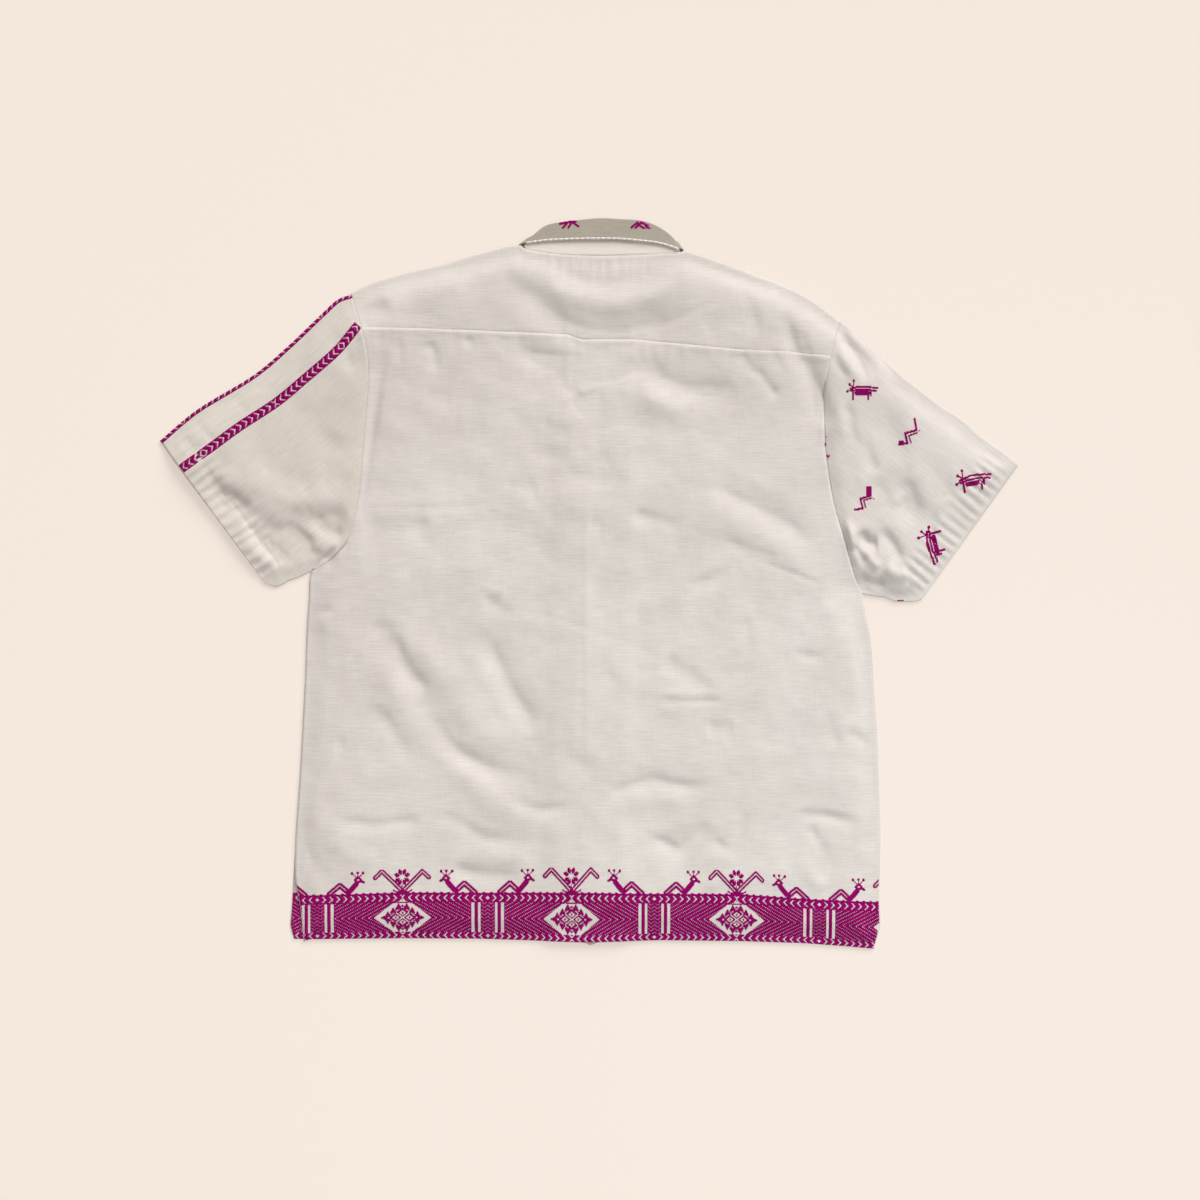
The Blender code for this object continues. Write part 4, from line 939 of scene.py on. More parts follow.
# Colours, dark and light
CREAM = ((0.585, 0.535, 0.495), (0.73, 0.685, 0.65))
# Left sleeve's cream, darker and warmer than the rest: painted shade standing in for the shade on that
# sleeve
LEFT_SLEEVE_SHADED_CREAM = ((0.565, 0.512, 0.462), (0.71, 0.66, 0.61))
# Collar's grey, darker than the body's cloth: painted shade standing in for the shade on the collar's fall
COLLAR_SHADED_GREY = ((0.34, 0.305, 0.25), (0.445, 0.405, 0.34))
# Stand's cream, lighter than the body's cloth: painted light that lifts the shade cast by the collar's
# fall
STAND_LIT_CREAM = ((0.74, 0.67, 0.59), (0.84, 0.79, 0.725))
MAGENTA = ((0.235, 0.0, 0.09), (0.40, 0.0, 0.19))
# Pale cord on the lower edge of the collar's fall: its pale colour is a painted highlight of the lit edge
LIP_HIGHLIGHT_CREAM = ((0.76, 0.72, 0.67), (0.86, 0.83, 0.79))
THREAD_CREAM = ((0.62, 0.56, 0.50), (0.78, 0.73, 0.67))
RESIN = ((0.60, 0.54, 0.45), (0.80, 0.76, 0.68))


def new_material(name, settings):
    """A new material with settings of its surface, and its node tree and surface shader."""
    made = bpy.data.materials.new(name)
    made.use_nodes = True
    shader = made.node_tree.nodes["Principled BSDF"]
    for setting, value in settings.items():
        shader.inputs[setting].default_value = value
    return made, made.node_tree, shader


def put(tree, kind, **values):
    """A node with its properties set."""
    node = tree.nodes.new(kind)
    for name, value in values.items():
        setattr(node, name, value)
    return node


def join(tree, source, target):
    """A link between two sockets."""
    tree.links.new(source, target)


def maths(tree, operation, first, second=None, third=None):
    """A Math node on sockets or plain numbers."""
    node = put(tree, "ShaderNodeMath", operation=operation)
    for number, value in enumerate((first, second, third)):
        if value is None:
            continue
        if isinstance(value, (int, float)):
            node.inputs[number].default_value = value
        else:
            join(tree, value, node.inputs[number])
    return node.outputs[0]


def stretched_noise(tree, place, scale, detail=2.0, rough=0.6):
    """Noise on a place scaled by its own amount each way."""
    mapping = put(tree, "ShaderNodeMapping")
    mapping.inputs["Scale"].default_value = scale
    join(tree, place, mapping.inputs["Vector"])
    made = put(tree, "ShaderNodeTexNoise")
    made.inputs["Scale"].default_value = 1.0
    made.inputs["Detail"].default_value = detail
    made.inputs["Roughness"].default_value = rough
    join(tree, mapping.outputs[0], made.inputs["Vector"])
    return made.outputs["Fac"]


def mixed(tree, first, share, second):
    """A share of the first value and the rest of the second."""
    rest = round(1.0 - share, 2)
    return maths(tree, "MULTIPLY_ADD", first, share, maths(tree, "MULTIPLY", second, rest))


def shades(tree, shader, source, low, high, dark, light):
    """Colours the surface from dark to light where the source goes from low to high."""
    ramp = put(tree, "ShaderNodeValToRGB")
    for number, (place, colour) in enumerate(((low, dark), (high, light))):
        ramp.color_ramp.elements[number].position = place
        ramp.color_ramp.elements[number].color = (*colour, 1.0)
    join(tree, source, ramp.inputs["Fac"])
    join(tree, ramp.outputs["Color"], shader.inputs["Base Color"])


def relief(tree, shader, source, depth):
    """Small bumps of the surface, depth in metres."""
    bumps = put(tree, "ShaderNodeBump")
    bumps.inputs["Distance"].default_value = depth
    join(tree, source, bumps.inputs["Height"])
    join(tree, bumps.outputs["Normal"], shader.inputs["Normal"])


def hand_weave_group():
    """Slubs and threads of a hand-woven cloth, from its weave coordinates in metres."""
    group = bpy.data.node_groups.new("hand weave", "ShaderNodeTree")
    face = group.interface
    face.new_socket(name="Weave", in_out="INPUT", socket_type="NodeSocketVector")
    for name in ("Slub", "Mottle", "Height"):
        face.new_socket(name=name, in_out="OUTPUT", socket_type="NodeSocketFloat")
    given = group.nodes.new("NodeGroupInput")
    result = group.nodes.new("NodeGroupOutput")
    place = given.outputs["Weave"]
    weft, warp, cloud, wide, threads = [stretched_noise(group, place, *row) for row in WEAVE_NOISE]
    slub = mixed(group, weft, 0.7, warp)
    join(group, slub, result.inputs["Slub"])
    join(group, mixed(group, wide, 0.62, cloud), result.inputs["Mottle"])
    join(group, mixed(group, slub, 0.7, threads), result.inputs["Height"])
    return group


def woven_cloth(name, weave, dark, light):
    """Matte hand-woven cloth: slubs and mottling move its colour between dark and light."""
    made, tree, shader = new_material(name, CLOTH_SURFACE)
    coordinates = put(tree, "ShaderNodeUVMap", uv_map="weave")
    cloth = put(tree, "ShaderNodeGroup")
    cloth.node_tree = weave
    join(tree, coordinates.outputs[0], cloth.inputs["Weave"])
    tone = mixed(tree, cloth.outputs["Slub"], 0.58, cloth.outputs["Mottle"])
    shades(tree, shader, tone, 0.36, 0.64, dark, light)
    relief(tree, shader, cloth.outputs["Height"], WEAVE_DEPTH)
    return made


def button_resin():
    """Slightly marbled resin with a soft gloss."""
    made, tree, shader = new_material("button_resin", {})
    coordinates = put(tree, "ShaderNodeTexCoord")
    marble = put(tree, "ShaderNodeTexNoise")
    marble.inputs["Scale"].default_value = 260.0
    marble.inputs["Detail"].default_value = 4.0
    marble.inputs["Distortion"].default_value = 1.4
    join(tree, coordinates.outputs["Object"], marble.inputs["Vector"])
    shades(tree, shader, marble.outputs["Fac"], 0.35, 0.65, *RESIN)
    gloss = put(tree, "ShaderNodeMapRange")
    gloss.inputs["To Min"].default_value = 0.26
    gloss.inputs["To Max"].default_value = 0.42
    join(tree, marble.outputs["Fac"], gloss.inputs["Value"])
    join(tree, gloss.outputs["Result"], shader.inputs["Roughness"])
    relief(tree, shader, marble.outputs["Fac"], MARBLE_DEPTH)
    return made


def toned_yarn(name, dark, light):
    """Yarn whose tone changes from float to float and along each one."""
    made, tree, shader = new_material(name, YARN_SURFACE)
    coordinates = put(tree, "ShaderNodeUVMap", uv_map="weave")
    tone = stretched_noise(tree, coordinates.outputs[0], (500.0, 37.0, 1.0))
    place = put(tree, "ShaderNodeTexCoord").outputs["Object"]
    cloud = stretched_noise(tree, place, (40.0, 40.0, 40.0), 3.0)
    fibre = stretched_noise(tree, place, (400.0, 2600.0, 2600.0))
    shades(tree, shader, mixed(tree, tone, 0.7, cloud), 0.34, 0.68, dark, light)
    relief(tree, shader, fibre, FIBRE_DEPTH)
    return made


# Brocade: raised pattern threads, each a short float of magenta yarn lying on the cloth

FLOAT_PITCH = 0.93
FLOAT_LONGEST = 5.5
MOTIF_LONGEST = 2.4
BAND_REPEAT = 168.5
BAND_DIAMOND = -186.0
BAND_HEIGHT = 46.0
BAND_ROWS = (-26, 50)
CHEVRON = 7.0
CHEVRON_SLANT = 0.9
# Places of the band down from its top edge: middles of its parts, edges of its field
TOP_LINE = 4.8
FIELD_MIDDLE = 24.8
LOW_LINE = 42.8
FIELD_FROM = 9.6
FIELD_TO = 39.6
HATCH_PITCH = 3.68
HATCH_GAP = 0.10
PANEL_HALF = 17.5
CORE_HALF = 6.4
BARS = ((14.7, 1.5), (8.4, 1.2))
# The lozenge: its half width and height inside the teeth
LOZENGE = (16.5, 12.4)
SAMPLING = 0.25


def threads(name, material, courses, radius=0.6, flatness=0.62, lift=0.12):
    """Short lengths of yarn, each a four-sided prism from a start to an end in millimetres."""
    chooser = random.Random(7)
    mesh = bpy.data.meshes.new(name)
    everything = bmesh.new()
    for course in courses:
        strip = bmesh.new()
        tone = strip.loops.layers.uv.new("weave")
        for start, end in course:
            run = Vector(end) - Vector(start)
            if run.length < 0.2:
                continue
            along = run.normalized()
            up = Vector((0.0, 0.0, 1.0)) - along * along.z
            up.normalize()
            side = up.cross(along)
            turned = Matrix((side * radius, up * radius * flatness, along)).transposed().to_4x4()
            middle = (Vector(start) + Vector(end)) / 2.0 + up * lift
            place = Matrix.Translation(middle * MM) @ turned
            made = bmesh.ops.create_cone(
                strip,
                cap_ends=True,
                segments=4,
                radius1=MM,
                radius2=MM * 0.94,
                depth=run.length * MM,
                matrix=place,
            )
            shade = chooser.random()
            faces = {face for vertex in made["verts"] for face in vertex.link_faces}
            for face in faces:
                face.smooth = len(face.verts) == 4 and abs(face.normal.dot(along)) < 0.7
                for loop in face.loops:
                    ahead = (loop.vert.co / MM - Vector(start)).dot(along)
                    loop[tone].uv = (ahead * MM, shade)
        part = bpy.data.meshes.new(name)
        strip.to_mesh(part)
        strip.free()
        everything.from_mesh(part)
        bpy.data.meshes.remove(part)
    bmesh.ops.recalc_face_normals(everything, faces=everything.faces[:])
    everything.to_mesh(mesh)
    everything.free()
    mesh.materials.append(material)
    piece = bpy.data.objects.new(name, mesh)
    bpy.context.scene.collection.objects.link(piece)
    return piece


def floats_where(rows, pattern, surface, longest=FLOAT_LONGEST):
    """Starts and ends of the floats along rows of places, wherever the pattern is raised."""
    courses = []
    for x, y, facts in rows:
        raised = pattern(x, y, facts)
        change = np.flatnonzero(np.diff(np.concatenate([[0], raised.astype(int), [0]])))
        ends = []
        for first, last in zip(change[::2], change[1::2] - 1):
            length = math.hypot(x[last] - x[first], y[last] - y[first])
            parts = max(1, math.ceil(length / longest))
            marks = np.rint(np.linspace(first, last, parts + 1)).astype(int)
            ends += list(zip(marks[:-1], marks[1:]))
        ends = [pair for pair in ends if pair[0] < pair[1]]
        if not ends:
            continue
        starts, stops = np.array(ends).T
        low = surface(x[starts], y[starts])
        high = surface(x[stops], y[stops])
        froms = np.stack([x[starts], y[starts], low], axis=1)
        untils = np.stack([x[stops], y[stops], high], axis=1)
        courses.append(list(zip(froms, untils)))
    return courses


def stroke(points, half_width, x, y, hollow=0.0):
    """Whether places lie on a drawn line, which is bare in the middle where it is hollow."""
    gap = distance(points, x, y)[0]
    return (gap <= half_width) & (gap >= hollow)


def chevrons(ahead, across, reach=3.3):
    """Chevron line: raised except for thin slanting gaps that turn on its middle."""
    gap = 0.27 - 0.03 * abs(across)
    phase = np.mod((CHEVRON_SLANT * abs(across) - abs(ahead)) / CHEVRON, 1.0)
    return (phase > gap) | (abs(across) > reach)


PLANT_ARMS = [[(0, 0), (-20.5, 21), (-27, 14.4)], [(0, 0), (19.5, 20), (26, 14)]]
PLANT_HEART = (-0.5, 14.0)
PETALS = [
    (-3.6, 22.4), (2.8, 22.4), (-8.4, 17.6), (7.4, 17.6),
    (-7.6, 10.2), (6.8, 10.2), (-3.8, 6.0), (2.9, 6.0),
]
PLANT_FOOT = [(-9, 1.2), (-6, -0.6), (6, -0.6), (9, 1.2)]
BIRD_CREST = [[(38, 20), (42, 15.5)], [(43.2, 20.4), (43.2, 15.5)], [(49, 20), (44.5, 15.5)]]
BIRD_HEAD = (43.0, 13.0)
BIRD_BEAK = [(40.5, 12.4), (37.3, 10.3)]
BIRD_NECK = [(44.6, 9.0), (50.8, 1.8)]
BIRD_WING = [(53, 0.8), (61, 8), (71.5, -1)]


def plant(x, up):
    """A flower between two bent arms."""
    raised = np.zeros(x.shape, bool)
    for arm in PLANT_ARMS:
        raised |= stroke(arm, 2.3, x, up, 0.5)
    for petal in PETALS:
        root = [0.72 * heart + 0.28 * tip for heart, tip in zip(PLANT_HEART, petal)]
        gap, share = distance([root, petal], x, up)
        raised |= gap < 0.2 + 1.75 * np.sin(math.pi * np.clip(share, 0.0, 1.0))
    raised |= stroke([(-0.5, 6.5), (-0.5, 1.5)], 0.55, x, up)
    raised |= abs(x) + abs(up - 1.0) < 2.4
    return raised | stroke(PLANT_FOOT, 0.7, x, up)


def bird(x, up):
    """A crested bird with one folded wing."""
    raised = np.zeros(x.shape, bool)
    for stalk in BIRD_CREST:
        raised |= stroke(stalk, 0.4, x, up) | (np.hypot(x - stalk[0][0], up - stalk[0][1]) < 1.4)
    head = abs(x - BIRD_HEAD[0]) + abs(up - BIRD_HEAD[1])
    raised |= (head < 4.6) & (np.hypot(x - BIRD_HEAD[0] + 0.2, up - BIRD_HEAD[1]) > 1.1)
    raised |= stroke(BIRD_BEAK, 1.3, x, up) | stroke(BIRD_NECK, 2.6, x, up)
    gap, share = distance(BIRD_WING, x, up)
    return raised | ((gap < 2.8) & ((gap > 0.45) | (share < 0.12)))


def diamond(ahead, across):
    """Lozenge of the band: white ground, toothed outline and a small lattice."""
    a, b = abs(ahead), abs(across)
    ground = (a <= 28.5 - 1.3 * b) & (b <= 14.9)
    half_width, half_height = LOZENGE
    inner = a / half_width + b / half_height
    teeth = np.zeros(a.shape, bool)
    for base in (14.6, 9.4, 4.0):
        foot = half_height * (1.0 - base / half_width)
        slope = abs(a - base) < 3.0 * (1.0 - (b - foot) / 5.6)
        teeth |= slope & (b > foot - 0.8) & (b < foot + 5.2)
    teeth |= (b < 2.9 * (1.0 - (a - 16.0) / 6.2)) & (a > 15.6) & (a < 22.0)
    line = (inner < 1.04) & (inner > 0.92)
    lattice = inner < 0.83
    cross = abs(a / half_width - b / half_height) < 0.06
    eye = np.minimum(abs(a - 6.8) / 3.6 + b / 2.6, a / 3.6 + abs(b - 4.7) / 2.6)
    ring = (eye < 1.0) & (eye > 0.42)
    drawn = teeth | line | (lattice & ~cross & ~ring)
    return ground, drawn


def band(x, v):
    """Woven border: v runs from its top edge down to the hem, and figures stand above it."""
    ahead = np.mod(x - BAND_DIAMOND + BAND_REPEAT / 2.0, BAND_REPEAT) - BAND_REPEAT / 2.0
    beside = BAND_REPEAT / 2.0 - abs(ahead)
    up = -v - 1.6
    figures = plant(ahead, up) | bird(ahead, up) | bird(-ahead - 1.0, up)
    scallop = 1.1 * abs(np.sin(math.pi * (ahead / CHEVRON)))
    top_line = chevrons(ahead, v - TOP_LINE, reach=3.4)
    top_line = top_line & (v > 0.4 - scallop) & (v < FIELD_FROM)
    height = (v - 8.6) / 0.9
    lens = abs(ahead) < 4.6 * np.sqrt(np.clip(1.0 - height ** 2, 0.0, 1.0)) * (abs(v - 8.6) < 0.9)
    top_line = top_line & ~lens
    low_line = chevrons(ahead, v - LOW_LINE, reach=2.9)
    across = v - FIELD_MIDDLE
    hatch = np.mod((abs(across) + 0.55 * abs(ahead)) / HATCH_PITCH, 1.0) > HATCH_GAP
    bars = np.zeros(x.shape, bool)
    for middle, half_width in BARS:
        bars |= abs(beside - middle) < half_width
    waves = np.mod((v + CHEVRON_SLANT * abs(beside - 3.3)) / HATCH_PITCH, 1.0) < HATCH_GAP
    ground, drawn = diamond(ahead, across)
    field = np.where(beside < PANEL_HALF, ~bars & ~((beside < CORE_HALF) & waves), hatch)
    field = np.where(ground, drawn, field)
    raised = np.where(v < 0.0, figures | top_line, top_line)
    raised = np.where(v > FIELD_FROM, field, raised)
    return np.where(v > FIELD_TO, low_line, raised)


def band_rows(left, right, top, bottom, first=BAND_ROWS[0]):
    """Rows along the band between two edges, which may depend on the height."""
    rows = []
    for number in range(first, BAND_ROWS[1]):
        v = (number + 0.5) * BAND_HEIGHT / BAND_ROWS[1]
        x = np.arange(left(v), right(v), SAMPLING)
        upper, lower = top(x), bottom(x)
        y = upper - v * (upper - lower) / BAND_HEIGHT
        rows.append((x, y, np.full(x.shape, v)))
    return rows


def edge_x(y, line):
    """Place in x of an edge whose points run downward."""
    return float(np.interp(y, [p[1] for p in line[::-1]], [p[0] for p in line[::-1]]))


# Places of the marks of the repeats as woven, and where even repeats would have them
BAND_MARKS = [-354.0, -271.0, -185.8, -100.8, -17.1, 65.3, 147.4, 229.8, 312.0]
BAND_EVEN = [-354.5, -270.25, -186.0, -101.75, -17.5, 66.75, 151.0, 235.25, 319.5]


def band_pattern(x, y, v):
    """The border, whose repeats were beaten up a little closer toward the right."""
    return band(np.interp(x, BAND_MARKS, BAND_EVEN), v)


# Cloth left bare beside the brocade, and where the turned-out brocade of the left front ends
EDGE_BARE = 0.6
HEM_BARE = 0.4
LAP_BARE = 1.5
PEEK_END = -282.0


def back_band():
    """Floats of the border of the back."""
    left = lambda v: edge_x(hem_top(-280.0) - v, [edge for edge, _ in SIDES]) + EDGE_BARE
    right = lambda v: edge_x(hem_top(280.0) - v, RIGHT_SIDE) - EDGE_BARE
    lowest = lambda x: hem_bottom(x) + HEM_BARE
    return floats_where(band_rows(left, right, hem_top, lowest), band_pattern, top_of_cloth)


def front_band(table, under, side, peek=False):
    """The same border on the outer face of a front, or where it peeks out on the inner one."""
    inner_x = table[-2][1][0]
    hem_y = lambda x: front_hem(table, x)[0]
    top_y = lambda x: hem_y(x) + BAND_HEIGHT
    outer_edge = [edge for edge, _ in table]
    top_of_edge = float(hem_y(table[-1][0][0])) + BAND_HEIGHT
    outer = lambda v: edge_x(top_of_edge - v, outer_edge) + side * EDGE_BARE
    inner = lambda v: PEEK_END if peek else inner_x - side * LAP_BARE
    left, right = (outer, inner) if side > 0 else (inner, outer)
    face = (lambda x, y: under(x, y) + BAND_LIFT + CLOTH) if peek else under
    rows = band_rows(left, right, top_y, hem_y, 0 if peek else BAND_ROWS[0])
    return floats_where(rows, band_pattern, face)


# Sleeves: two chevron stripes on the left one, small creatures and zigzags on the right one

# Stripes: places along the middle, half width, first and last row of ten
STRIPES = [
    (
        [(-237.8, 288.9), (-251.8, 283.9), (-268.8, 268.5), (-299.8, 238.9),
         (-335.2, 208.9), (-384.6, 178.9), (-405.6, 163.5), (-429, 142.9)],
        4.2,
        (0, 4),
    ),
    (
        [(-230, 257.5), (-252, 231), (-280, 206.5), (-312, 180),
         (-347, 157), (-381, 132), (-406, 114)],
        4.6,
        (0, 10),
    ),
]
STRIPE_CROSSING = (-313.0, 180.5)
STRIPE_REPEAT = 174.0


def stripe_rows(points, half_width, rows):
    """Rows along a stripe, with the length passed and the place across it."""
    line = curve(points, np.linspace(0.0, len(points) - 1.0, 900))
    tangent = np.gradient(line, axis=0)
    tangent = tangent / np.hypot(*tangent.T)[:, None]
    normal = np.stack([-tangent[:, 1], tangent[:, 0]], axis=1)
    passed = lengths_along(line)
    made = []
    for number in range(*rows):
        across = (number + 0.5) / 10.0 * 2.0 * half_width - half_width
        place = line - normal * across
        made.append((place[:, 0], place[:, 1], np.stack([passed, np.full(passed.shape, across)])))
    return made


def stripe_pattern(x, y, facts):
    """Chevrons that turn about the crossing in the middle of the stripe."""
    passed, across = facts
    middle = passed[np.argmin(np.hypot(x - STRIPE_CROSSING[0], y - STRIPE_CROSSING[1]))]
    half = STRIPE_REPEAT / 2.0
    ahead = np.mod(passed - middle + half, STRIPE_REPEAT) - half
    return chevrons(ahead, across)


CREATURE = {
    "head": [[(7.0, 19.4), (6.4, 11.0)], [(2.6, 15.6), (9.0, 11.0)], [(0.4, 8.6), (6.0, 11.2)]],
    "backs": [
        [(3.5, 11.5), (12, 13.4), (20, 13.4), (31.5, 11.8)],
        [(4, 9), (12, 10.6), (20, 10.6), (30, 9)],
    ],
    "belly": [(9.5, 7.0), (21.5, 7.0)],
    "limbs": [[(6.2, 8.0), (6.2, 0.4)], [(21.8, 8.0), (21.8, 1.0)], [(24.4, 9.0), (24.4, 4.6)]],
}
# Zigzags: a long line, a short one beside it, the block at the end, a dot
ZIGZAG = (
    [(16, 27), (17.9, 15.7), (6.6, 12.7), (9.1, 2.9), (0.8, 1.6)],
    [(18.4, 13), (10.2, 10.2), (12.6, 3.4)],
    (1.1, 0.7),
    (3.0, 3.2, 2.7, 2.5),
    (20.8, 15.2),
)
STAIR = (
    [(0, 1.9), (9.2, 3), (6.5, 14.3), (18.2, 17.5), (16.5, 22)],
    [(12.4, 4.8), (10.2, 12.3), (19.2, 15)],
    (1.15, 0.8),
    (16.2, 22.8, 3.3, 5.0),
    (21.6, 14.2),
)
# Motifs of the right sleeve: kind, place, turn in degrees, size, which way up
SLEEVE_MOTIFS = [
    ("creature", (257.0, 183.0), 0.0, 0.98, 1),
    ("zigzag", (308.5, 137.0), 0.0, 1.0, 1),
    ("stair", (265.0, 72.0), 0.0, 0.88, 1),
    ("creature", (368.0, 89.0), 11.0, 1.14, 1),
    ("creature", (349.0, 59.5), -75.0, 1.2, -1),
]


def creature(x, y):
    """A small beast with feelers, two lines along its back and three legs."""
    raised = np.zeros(x.shape, bool)
    for stalk in CREATURE["head"]:
        raised |= stroke(stalk, 0.55, x, y) | (np.hypot(x - stalk[0][0], y - stalk[0][1]) < 1.3)
    for line in CREATURE["backs"]:
        raised |= stroke(line, 0.85, x, y)
    raised |= stroke(CREATURE["belly"], 2.1, x, y)
    for line in CREATURE["limbs"]:
        raised |= stroke(line, 1.0, x, y)
    return raised


def zigzag(x, y, drawing):
    """A zigzag with a block at one end and a dot."""
    long_line, short_line, half_widths, block, dot = drawing
    raised = stroke(long_line, half_widths[0], x, y) | stroke(short_line, half_widths[1], x, y)
    middle_x, middle_y, half_width, half_height = block
    raised |= (abs(x - middle_x) < half_width) & (abs(y - middle_y) < half_height)
    return raised | (np.hypot(x - dot[0], y - dot[1]) < 0.9)


def motif_courses(surface):
    """Floats of the right sleeve's motifs, each drawn in its own turned rows."""
    courses = []
    for kind, place, turn, size, flip in SLEEVE_MOTIFS:
        angle = math.radians(turn)
        c, s = math.cos(angle), math.sin(angle)
        width, height = (33.0, 21.5) if kind == "creature" else (23.0, 29.0)
        rows = []
        for number in range(int(height * size / FLOAT_PITCH) + 1):
            across = np.arange(-1.0, width * size, SAMPLING)
            up = np.full(across.shape, (number + 0.3) * FLOAT_PITCH)
            x = place[0] + across * c - flip * up * s
            y = place[1] + across * s + flip * up * c
            rows.append((x, y, np.stack([across / size, up / size])))
        drawing = {"creature": None, "zigzag": ZIGZAG, "stair": STAIR}[kind]
        pattern = lambda x, y, facts: zigzag(*facts, drawing) if drawing else creature(*facts)
        courses += floats_where(rows, pattern, surface, MOTIF_LONGEST)
    return courses + [cut_off_floats(surface)]


# Ends of motifs that the seams cut off
CUT_OFF = [
    ((236, 146.5), (237, 145.9)),
    ((235.6, 140.5), (236.2, 137.5)),
    ((236.8, 127.7), (240.4, 127.3)),
    ((237.2, 126.5), (240, 126.1)),
    ((308, -17.1), (314.5, -16.9)),
]


def cut_off_floats(surface):
    """Floats of the cut-off ends."""
    ends = np.array(CUT_OFF).reshape(-1, 2)
    heights = surface(ends[:, 0], ends[:, 1])
    return list(np.column_stack([ends, heights]).reshape(-1, 2, 3))


# Strokes of the two motifs that the top edge of the collar cuts off
COLLAR_STROKES = [
    [(-29, 359.5), (-21, 361.1), (-13, 361.7)],
    [(-26, 355.5), (-22, 360)],
    [(-20.5, 355.9), (-17, 360.9)],
    [(-16, 361.1), (-10.5, 356.9)],
    [(42.5, 355.9), (49, 361.1)],
    [(46.5, 355.3), (52, 360.5)],
    [(49, 359), (56, 354.3)],
    [(52, 361.1), (59, 357.7)],
    [(56.5, 357.5), (61.5, 353.9)],
]
COLLAR_MOTIFS = ((-31.0, -8.0), (40.0, 63.0))
COLLAR_ROWS = (354.4, 362.4, 0.8)


def collar_height(x, y):
    """Height of the fall of the collar over a place on it."""
    station = np.interp(x, [COLLAR_EDGE[number][0] for number in range(10, 22)], range(10, 22))
    facts = collar_path(station)
    middle = LAYER / 2.0
    reach = (facts[:, 3] - middle) - facts[:, 5]
    share = np.clip(((facts[:, 3] - middle) - y) / np.maximum(reach, 1.0), 0.0, 1.0)
    height, size, seed = COLLAR_CRUMPLE
    soft = height * crumple(x, y, size, seed) * share
    level = 2.0 * LAYER - SEAM_GAP / 2.0 + 3.0 * middle
    return level + facts[:, 7] * share ** RISE_CURVE + soft + CLOTH / 2.0


def collar_courses():
    """Floats of the collar's two motifs."""
    def pattern(x, y, facts):
        raised = np.zeros(x.shape, bool)
        for line in COLLAR_STROKES:
            raised |= stroke(line, 1.05, x, y + 0.6)
        return raised

    rows = []
    for left, right in COLLAR_MOTIFS:
        for y in np.arange(*COLLAR_ROWS):
            x = np.arange(left, right, SAMPLING)
            rows.append((x, np.full(x.shape, y), None))
    return floats_where(rows, pattern, collar_height)


# Sewing


STITCH_LENGTH = 2.1
STITCH_PITCH = 3.1


def on_surface(marks, passed, line, surface):
    """Places on a surface at lengths along a line."""
    x, y = np.interp(marks, passed, line[:, 0]), np.interp(marks, passed, line[:, 1])
    return np.stack([x, y, surface(x, y)], axis=1)


def stitches(points, surface):
    """A row of stitches along a line of places."""
    line = curve(points, np.linspace(0.0, len(points) - 1.0, 60 * len(points)))
    passed = lengths_along(line)
    starts = np.arange(1.0, passed[-1] - STITCH_LENGTH, STITCH_PITCH)
    ends = [on_surface(mark, passed, line, surface) for mark in (starts, starts + STITCH_LENGTH)]
    return list(zip(*ends))


def corded_edge(line, surface, step, overlap):
    """A turned edge: one unbroken cord of short lengths, which overlap at their ends."""
    path = curve(line, np.linspace(0.0, len(line) - 1.0, 80 * len(line)))
    passed = lengths_along(path)
    marks = np.linspace(0.0, passed[-1], max(3, int(passed[-1] / step)))
    places = on_surface(marks, passed, path, surface)
    run = np.diff(places, axis=0)
    run = run / np.linalg.norm(run, axis=1)[:, None] * overlap
    return list(zip(places[:-1] - run, places[1:] + run))


def offset_line(line, away):
    """A straight line moved to its left by a distance."""
    (ax, ay), (bx, by) = line
    reach = math.hypot(bx - ax, by - ay)
    nx, ny = -(by - ay) / reach * away, (bx - ax) / reach * away
    return [(ax + nx, ay + ny), (bx + nx, by + ny)]


# The floor, the light and the camera

CAMERA = Vector((11.0, -16.5, 2833.0)) * MM
# The floor and the lights, in metres
FLOOR_HALF = 16.0
FLOOR_LEVEL = -0.0005
WINDOW_PLACE = (0.45, -0.45, 0.9)
WINDOW_COLOUR = (0.66, 0.84, 1.0)
SKY_COLOUR = (1.0, 0.955, 0.895, 1.0)
# Lights from far away: name, the way it shines, strength, softness in degrees, colour
SUNS = [
    ("key", (-0.5, -0.95, -0.76), 3.3, 42.0, (1.0, 0.985, 0.962)),
    ("fill", (0.5, 0.95, -0.42), 0.5, 60.0, (1.0, 0.97, 0.93)),
]


def pale_floor():
    """An even pale floor, wide enough to fill the view."""
    floor = bmesh.new()
    bmesh.ops.create_grid(floor, x_segments=2, y_segments=2, size=FLOOR_HALF)
    mesh = bpy.data.meshes.new("floor")
    floor.to_mesh(mesh)
    floor.free()
    mesh.materials.append(new_material("floor_cream", FLOOR_SURFACE)[0])
    piece = bpy.data.objects.new("floor", mesh)
    piece.location = (0.0, 0.0, FLOOR_LEVEL)
    bpy.context.scene.collection.objects.link(piece)


def sunlight(name, towards, strength, softness, colour):
    """Even light from far away: towards is the way it shines."""
    lamp = bpy.data.lights.new(name, "SUN")
    lamp.energy = strength
    lamp.angle = math.radians(softness)
    lamp.color = colour
    made = bpy.data.objects.new(name, lamp)
    made.rotation_euler = Vector(towards).to_track_quat("-Z", "Y").to_euler()
    bpy.context.scene.collection.objects.link(made)


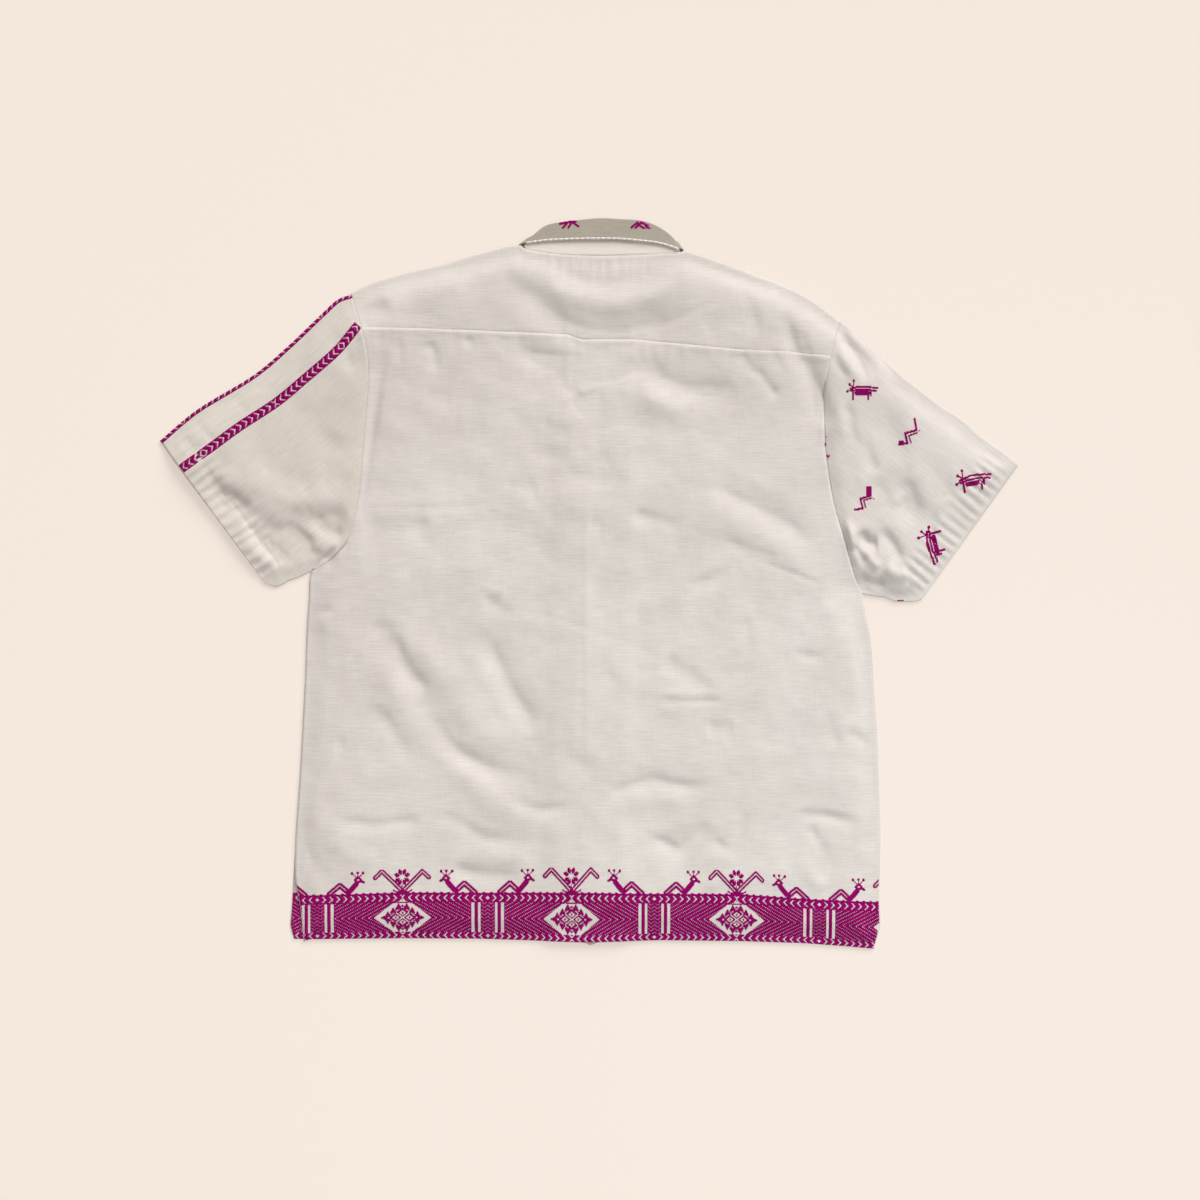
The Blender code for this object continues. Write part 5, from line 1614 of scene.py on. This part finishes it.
def studio():
    """Soft light from the upper right, a cool window light and the camera straight above."""
    world = bpy.data.worlds.new("studio")
    world.use_nodes = True
    sky = world.node_tree.nodes["Background"]
    sky.inputs["Color"].default_value = SKY_COLOUR
    sky.inputs["Strength"].default_value = 0.33
    bpy.context.scene.world = world
    for sun in SUNS:
        sunlight(*sun)
    panel = bpy.data.lights.new("window", "AREA")
    panel.size = 0.9
    panel.energy = 2.1
    panel.color = WINDOW_COLOUR
    window = bpy.data.objects.new("window", panel)
    window.location = WINDOW_PLACE
    bpy.context.scene.collection.objects.link(window)
    lens = bpy.data.cameras.new("camera")
    lens.lens = 85.0
    lens.sensor_width = 36.0
    lens.clip_end = 60.0
    camera = bpy.data.objects.new("camera", lens)
    camera.location = CAMERA
    bpy.context.scene.collection.objects.link(camera)
    bpy.context.scene.camera = camera
    bpy.context.scene.view_settings.view_transform = "Standard"


def declare(piece, node):
    """Hang a cloth piece under the root and hide the solid that it stands for."""
    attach(piece, "root")
    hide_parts(node)


weave = hand_weave_group()
cloth = woven_cloth("hand_woven_cloth", weave, *CREAM)
# The collar's fall is coloured with painted shade
collar_cloth = woven_cloth("collar_cloth", weave, *COLLAR_SHADED_GREY)
# The left sleeve's cloth carries painted shade
shaded_sleeve_cloth = woven_cloth("left_sleeve_painted_shade_cloth", weave, *LEFT_SLEEVE_SHADED_CREAM)

back = cloth_piece("back_cloth", *BACK_GRID, back_shape, cloth)
yoke_rows = sum(YOKE_GRID[1:])
yoke = cloth_piece("yoke_cloth", YOKE_GRID[0], yoke_rows, yoke_shape, cloth, gone=yoke_open)
left_front = front_shape(FRONT_LEFT, under_left, 1)
right_front = front_shape(FRONT_RIGHT, under_right, -1)
front_left = cloth_piece("front_left_cloth", *FRONT_GRID, left_front, cloth, offset=1)
front_right = cloth_piece("front_right_cloth", *FRONT_GRID, right_front, cloth, offset=1)
ring = len(sleeve_ring()) - 1
left_shape = sleeve_shape(SLEEVE_LEFT, ARMHOLE_LEFT, -1, 37.6)
right_shape = sleeve_shape(SLEEVE_RIGHT, ARMHOLE_RIGHT, 1, -38.8)
sleeve_left = cloth_piece("sleeve_left_cloth", ring, SLEEVE_GRID[2], left_shape, shaded_sleeve_cloth, closed=True)
sleeve_right = cloth_piece("sleeve_right_cloth", ring, SLEEVE_GRID[2], right_shape, cloth, closed=True)
collar = cloth_piece("collar_cloth", *COLLAR_GRID, collar_shape, collar_cloth, offset=0)
# The stand gets the lighter cream of painted light; the fall keeps the grey of painted shade
collar.data.materials.append(woven_cloth("stand_painted_light_cloth", weave, *STAND_LIT_CREAM))
depths = collar.data.uv_layers["weave"].data
for face in collar.data.polygons:
    depth = sum(depths[loop].uv.y for loop in face.loop_indices) / face.loop_total
    if depth < STAND_CLOTH_END * COLLAR_DEPTH * MM:
        face.material_index = 1

magenta = toned_yarn("magenta_yarn", *MAGENTA)
# Painted highlight: the pale yarn of the cord along the collar's lower edge
lip_painted_highlight = toned_yarn("lip_painted_highlight", *LIP_HIGHLIGHT_CREAM)
lip_line = [COLLAR_EDGE[number] for number in range(11, 21)]
lip_run = corded_edge(lip_line, collar_height, 5.0, 0.7)
cream_thread = toned_yarn("cream_thread", *THREAD_CREAM)
decorations = {
    "back": [threads("back_brocade", magenta, back_band())],
    "front_left": [
        threads("front_left_brocade", magenta, front_band(FRONT_LEFT, under_left, 1)),
        threads("front_left_turned_brocade", magenta, front_band(FRONT_LEFT, under_left, 1, True)),
    ],
    "front_right": [threads("front_right_brocade", magenta, front_band(FRONT_RIGHT, under_right, -1))],
    "sleeve_left": [],
    "sleeve_right": [threads("sleeve_right_brocade", magenta, motif_courses(top_of_cloth))],
    "collar": [
        threads("collar_brocade", magenta, collar_courses()),
        threads("collar_lip", lip_painted_highlight, [lip_run], radius=1.0, flatness=0.6, lift=0.0),
    ],
    "yoke": [],
}
stripe_floats = []
for line, half_width, rows in STRIPES:
    stripe_floats += floats_where(stripe_rows(line, half_width, rows), stripe_pattern, top_of_cloth)
decorations["sleeve_left"].append(threads("sleeve_left_brocade", magenta, stripe_floats))

hem_line = [(x, float(hem_top(x)) - 9.5) for x, _ in BAND_TOP]
cuff_left = offset_line(CUFF_LEFT, HEM_STITCH)
cuff_right = offset_line(CUFF_RIGHT, -HEM_STITCH)
yoke_line = [(x, y - 2.0) for x, y in YOKE_SEAM[1:-1]]
sewing = {
    "back": [
        ("hem_stitches", [stitches(hem_line, top_of_cloth)], magenta),
        ("yoke_stitches", [stitches(yoke_line, top_of_cloth)], cream_thread),
    ],
    "sleeve_left": [("cuff_left_stitches", [stitches(cuff_left, top_of_cloth)], cream_thread)],
    "sleeve_right": [("cuff_right_stitches", [stitches(cuff_right, top_of_cloth)], cream_thread)],
}
for node, rows in sewing.items():
    for name, courses, yarn in rows:
        decorations[node].append(threads(name, yarn, courses, radius=0.26, flatness=0.9, lift=0.0))
for pieces in decorations.values():
    for piece in pieces:
        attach(piece, "root")

resin = button_resin()
for number in range(1, 6):
    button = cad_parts[f"button_{number}"]
    for slot in button.material_slots:
        slot.material = resin

declare(back, "back")
declare(yoke, "yoke")
declare(front_left, "front_left")
declare(front_right, "front_right")
declare(sleeve_left, "sleeve_left")
declare(sleeve_right, "sleeve_right")
declare(collar, "collar")

pale_floor()
studio()
